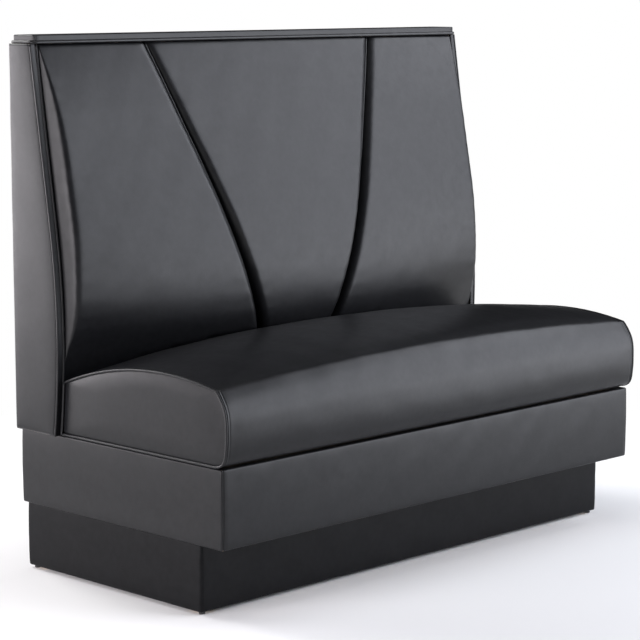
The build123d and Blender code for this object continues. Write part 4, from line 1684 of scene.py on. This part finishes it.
@dataclass
class Studio:
    """Floor, lamps, world and camera."""

    camera_place: tuple = (-3.3414, -3.2444, 1.1619)
    camera_aim: tuple = (0.70292, 0.69608, -0.14624)
    lens: float = 127.4
    sensor_width: float = 36.0
    clip: tuple = (0.1, 2000.0)
    world: float = 0.02
    floor_half: float = 400.0
    floor_tone: float = 0.9
    floor_roughness: float = 0.9
    far_start: float = 0.85
    far_stop: float = 1.7
    lamps: tuple = (
        Lamp("end_softbox", (-1.83, 3.1, 0.8), (0, 0, 0.8), (1.9, 1.5), 80, WARM),
        Lamp("corner_softbox", (-3.59, 0.25, 0.9), (0, 0, 0.9), (2.1, 1.5), 105, WARM),
        Lamp("front_softbox", (2.26, -2.54, 1.6), (0, 0, 1.6), (3.8, 3.0), 182, COOL),
        Lamp("low_softbox", (2.0, -2.2, 0.08), (2.0, -2.2, 5), (1.8, 1.8), 74, COOL),
        Lamp("nose_softbox", (2.83, -0.7, 2.62), (0, 0, 0.5), (1.7, 1.4), 32, COOL),
        Lamp("floor_lamp", (-0.76, 2.85, 2.57), (0, 0, 0.5), (1.6, 1.6), 95),
        Lamp("overhead", (0.0, 0.0, 4.1), (0, 0, 0), (1.8, 1.8), 38),
    )

    def build(self) -> None:
        """Set the whole stage."""
        self.floor()
        for lamp in self.lamps:
            lamp.build()
        self.surroundings()
        self.camera()

    def floor(self) -> None:
        """A wide pale floor."""
        half = self.floor_half
        corners = [(-half, -half, 0), (half, -half, 0), (half, half, 0), (-half, half, 0)]
        mesh = bpy.data.meshes.new("floor")
        mesh.from_pydata(corners, [], [[0, 1, 2, 3]])
        floor = bpy.data.objects.new("floor", mesh)
        bpy.context.scene.collection.objects.link(floor)
        mesh.materials.append(self.floor_material())

    def floor_material(self) -> bpy.types.Material:
        """Pale matt floor whose far part is plain white to the camera, glass and metal.

        Returns:
            The floor's material.
        """
        shader = Shader("pale_floor")
        shader.plain(Base_Color=(*[self.floor_tone] * 3, 1), Roughness=self.floor_roughness,
                     Specular_IOR_Level=0.0)
        rays = shader.add("ShaderNodeLightPath")
        seen = rays.outputs["Is Camera Ray"]
        for ray in ("Is Glossy Ray", "Is Transmission Ray"):
            seen = shader.combine("MAXIMUM", seen, rays.outputs[ray])
        length = shader.add("ShaderNodeVectorMath", operation="LENGTH")
        shader.link(shader.places, length.inputs[0])
        far = shader.span(length.outputs["Value"], 0, 1, self.far_start, self.far_stop)
        white = shader.add("ShaderNodeEmission")
        mix = shader.add("ShaderNodeMixShader")
        shader.link(shader.combine("MULTIPLY", seen, far), mix.inputs["Fac"])
        shader.link(shader.surface.outputs["BSDF"], mix.inputs[1])
        shader.link(white.outputs["Emission"], mix.inputs[2])
        output = shader.tree.nodes["Material Output"]
        shader.link(mix.outputs["Shader"], output.inputs["Surface"])
        return shader.material

    def surroundings(self) -> None:
        """A dim even world."""
        world = bpy.data.worlds.new("studio")
        bpy.context.scene.world = world
        world.use_nodes = True
        background = world.node_tree.nodes["Background"]
        background.inputs["Color"].default_value = (*WHITE, 1)
        background.inputs["Strength"].default_value = self.world

    def camera(self) -> None:
        """The camera at the photograph's viewing angle."""
        data = bpy.data.cameras.new("camera")
        data.lens = self.lens
        data.sensor_width = self.sensor_width
        data.clip_start, data.clip_end = self.clip
        camera = bpy.data.objects.new("camera", data)
        camera.rotation_mode = "QUATERNION"
        camera.location = self.camera_place
        camera.rotation_quaternion = Vector(self.camera_aim).to_track_quat("-Z", "Y")
        bpy.context.scene.collection.objects.link(camera)
        bpy.context.scene.camera = camera


def main() -> None:
    """Build the booth's looks in order and report each piece."""
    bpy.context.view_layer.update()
    bpy.context.scene.view_settings.view_transform = "Standard"
    finishes = Finishes()
    seat_form, back_form = SeatForm(), BackForm()
    Carcass(finishes).build()
    apron = WrappedBox("apron_wrap", tuple("apron_cover_" + side for side in SIDES),
                       finishes.vinyl)
    # The plinth's vinyl is darker by painted shade, for its place under the apron's overhang.
    plinth = WrappedBox("plinth_wrap", tuple("plinth_cover_" + side for side in SIDES),
                        finishes.matt_vinyl_painted_shade, turn_over=0.004, turn_under=0.005,
                        seam_depth=0.0003)
    cap = CapCover("cap_cover_sewn", ("cap_cover",), finishes.vinyl, edge=0.002)
    seat = SeatCushion(seat_form, finishes.vinyl)
    cushions = [BackCushion(panel, back_form, seat_form, finishes.vinyl) for panel in Panel]
    for piece in (apron, plinth, cap, seat):
        log.info("built %s", piece.build().name)
    log.info("built %s", seat.welts(finishes.piping).name)
    for piece in (*cushions, ChannelWelts(cushions[0], finishes.piping),
                  BorderTrim(back_form, finishes), CapPiping(finishes),
                  *[SidePanel(end, back_form, finishes.vinyl) for end in End]):
        log.info("built %s", piece.build().name)
    Studio().build()


if __name__ == "__main__":
    main()
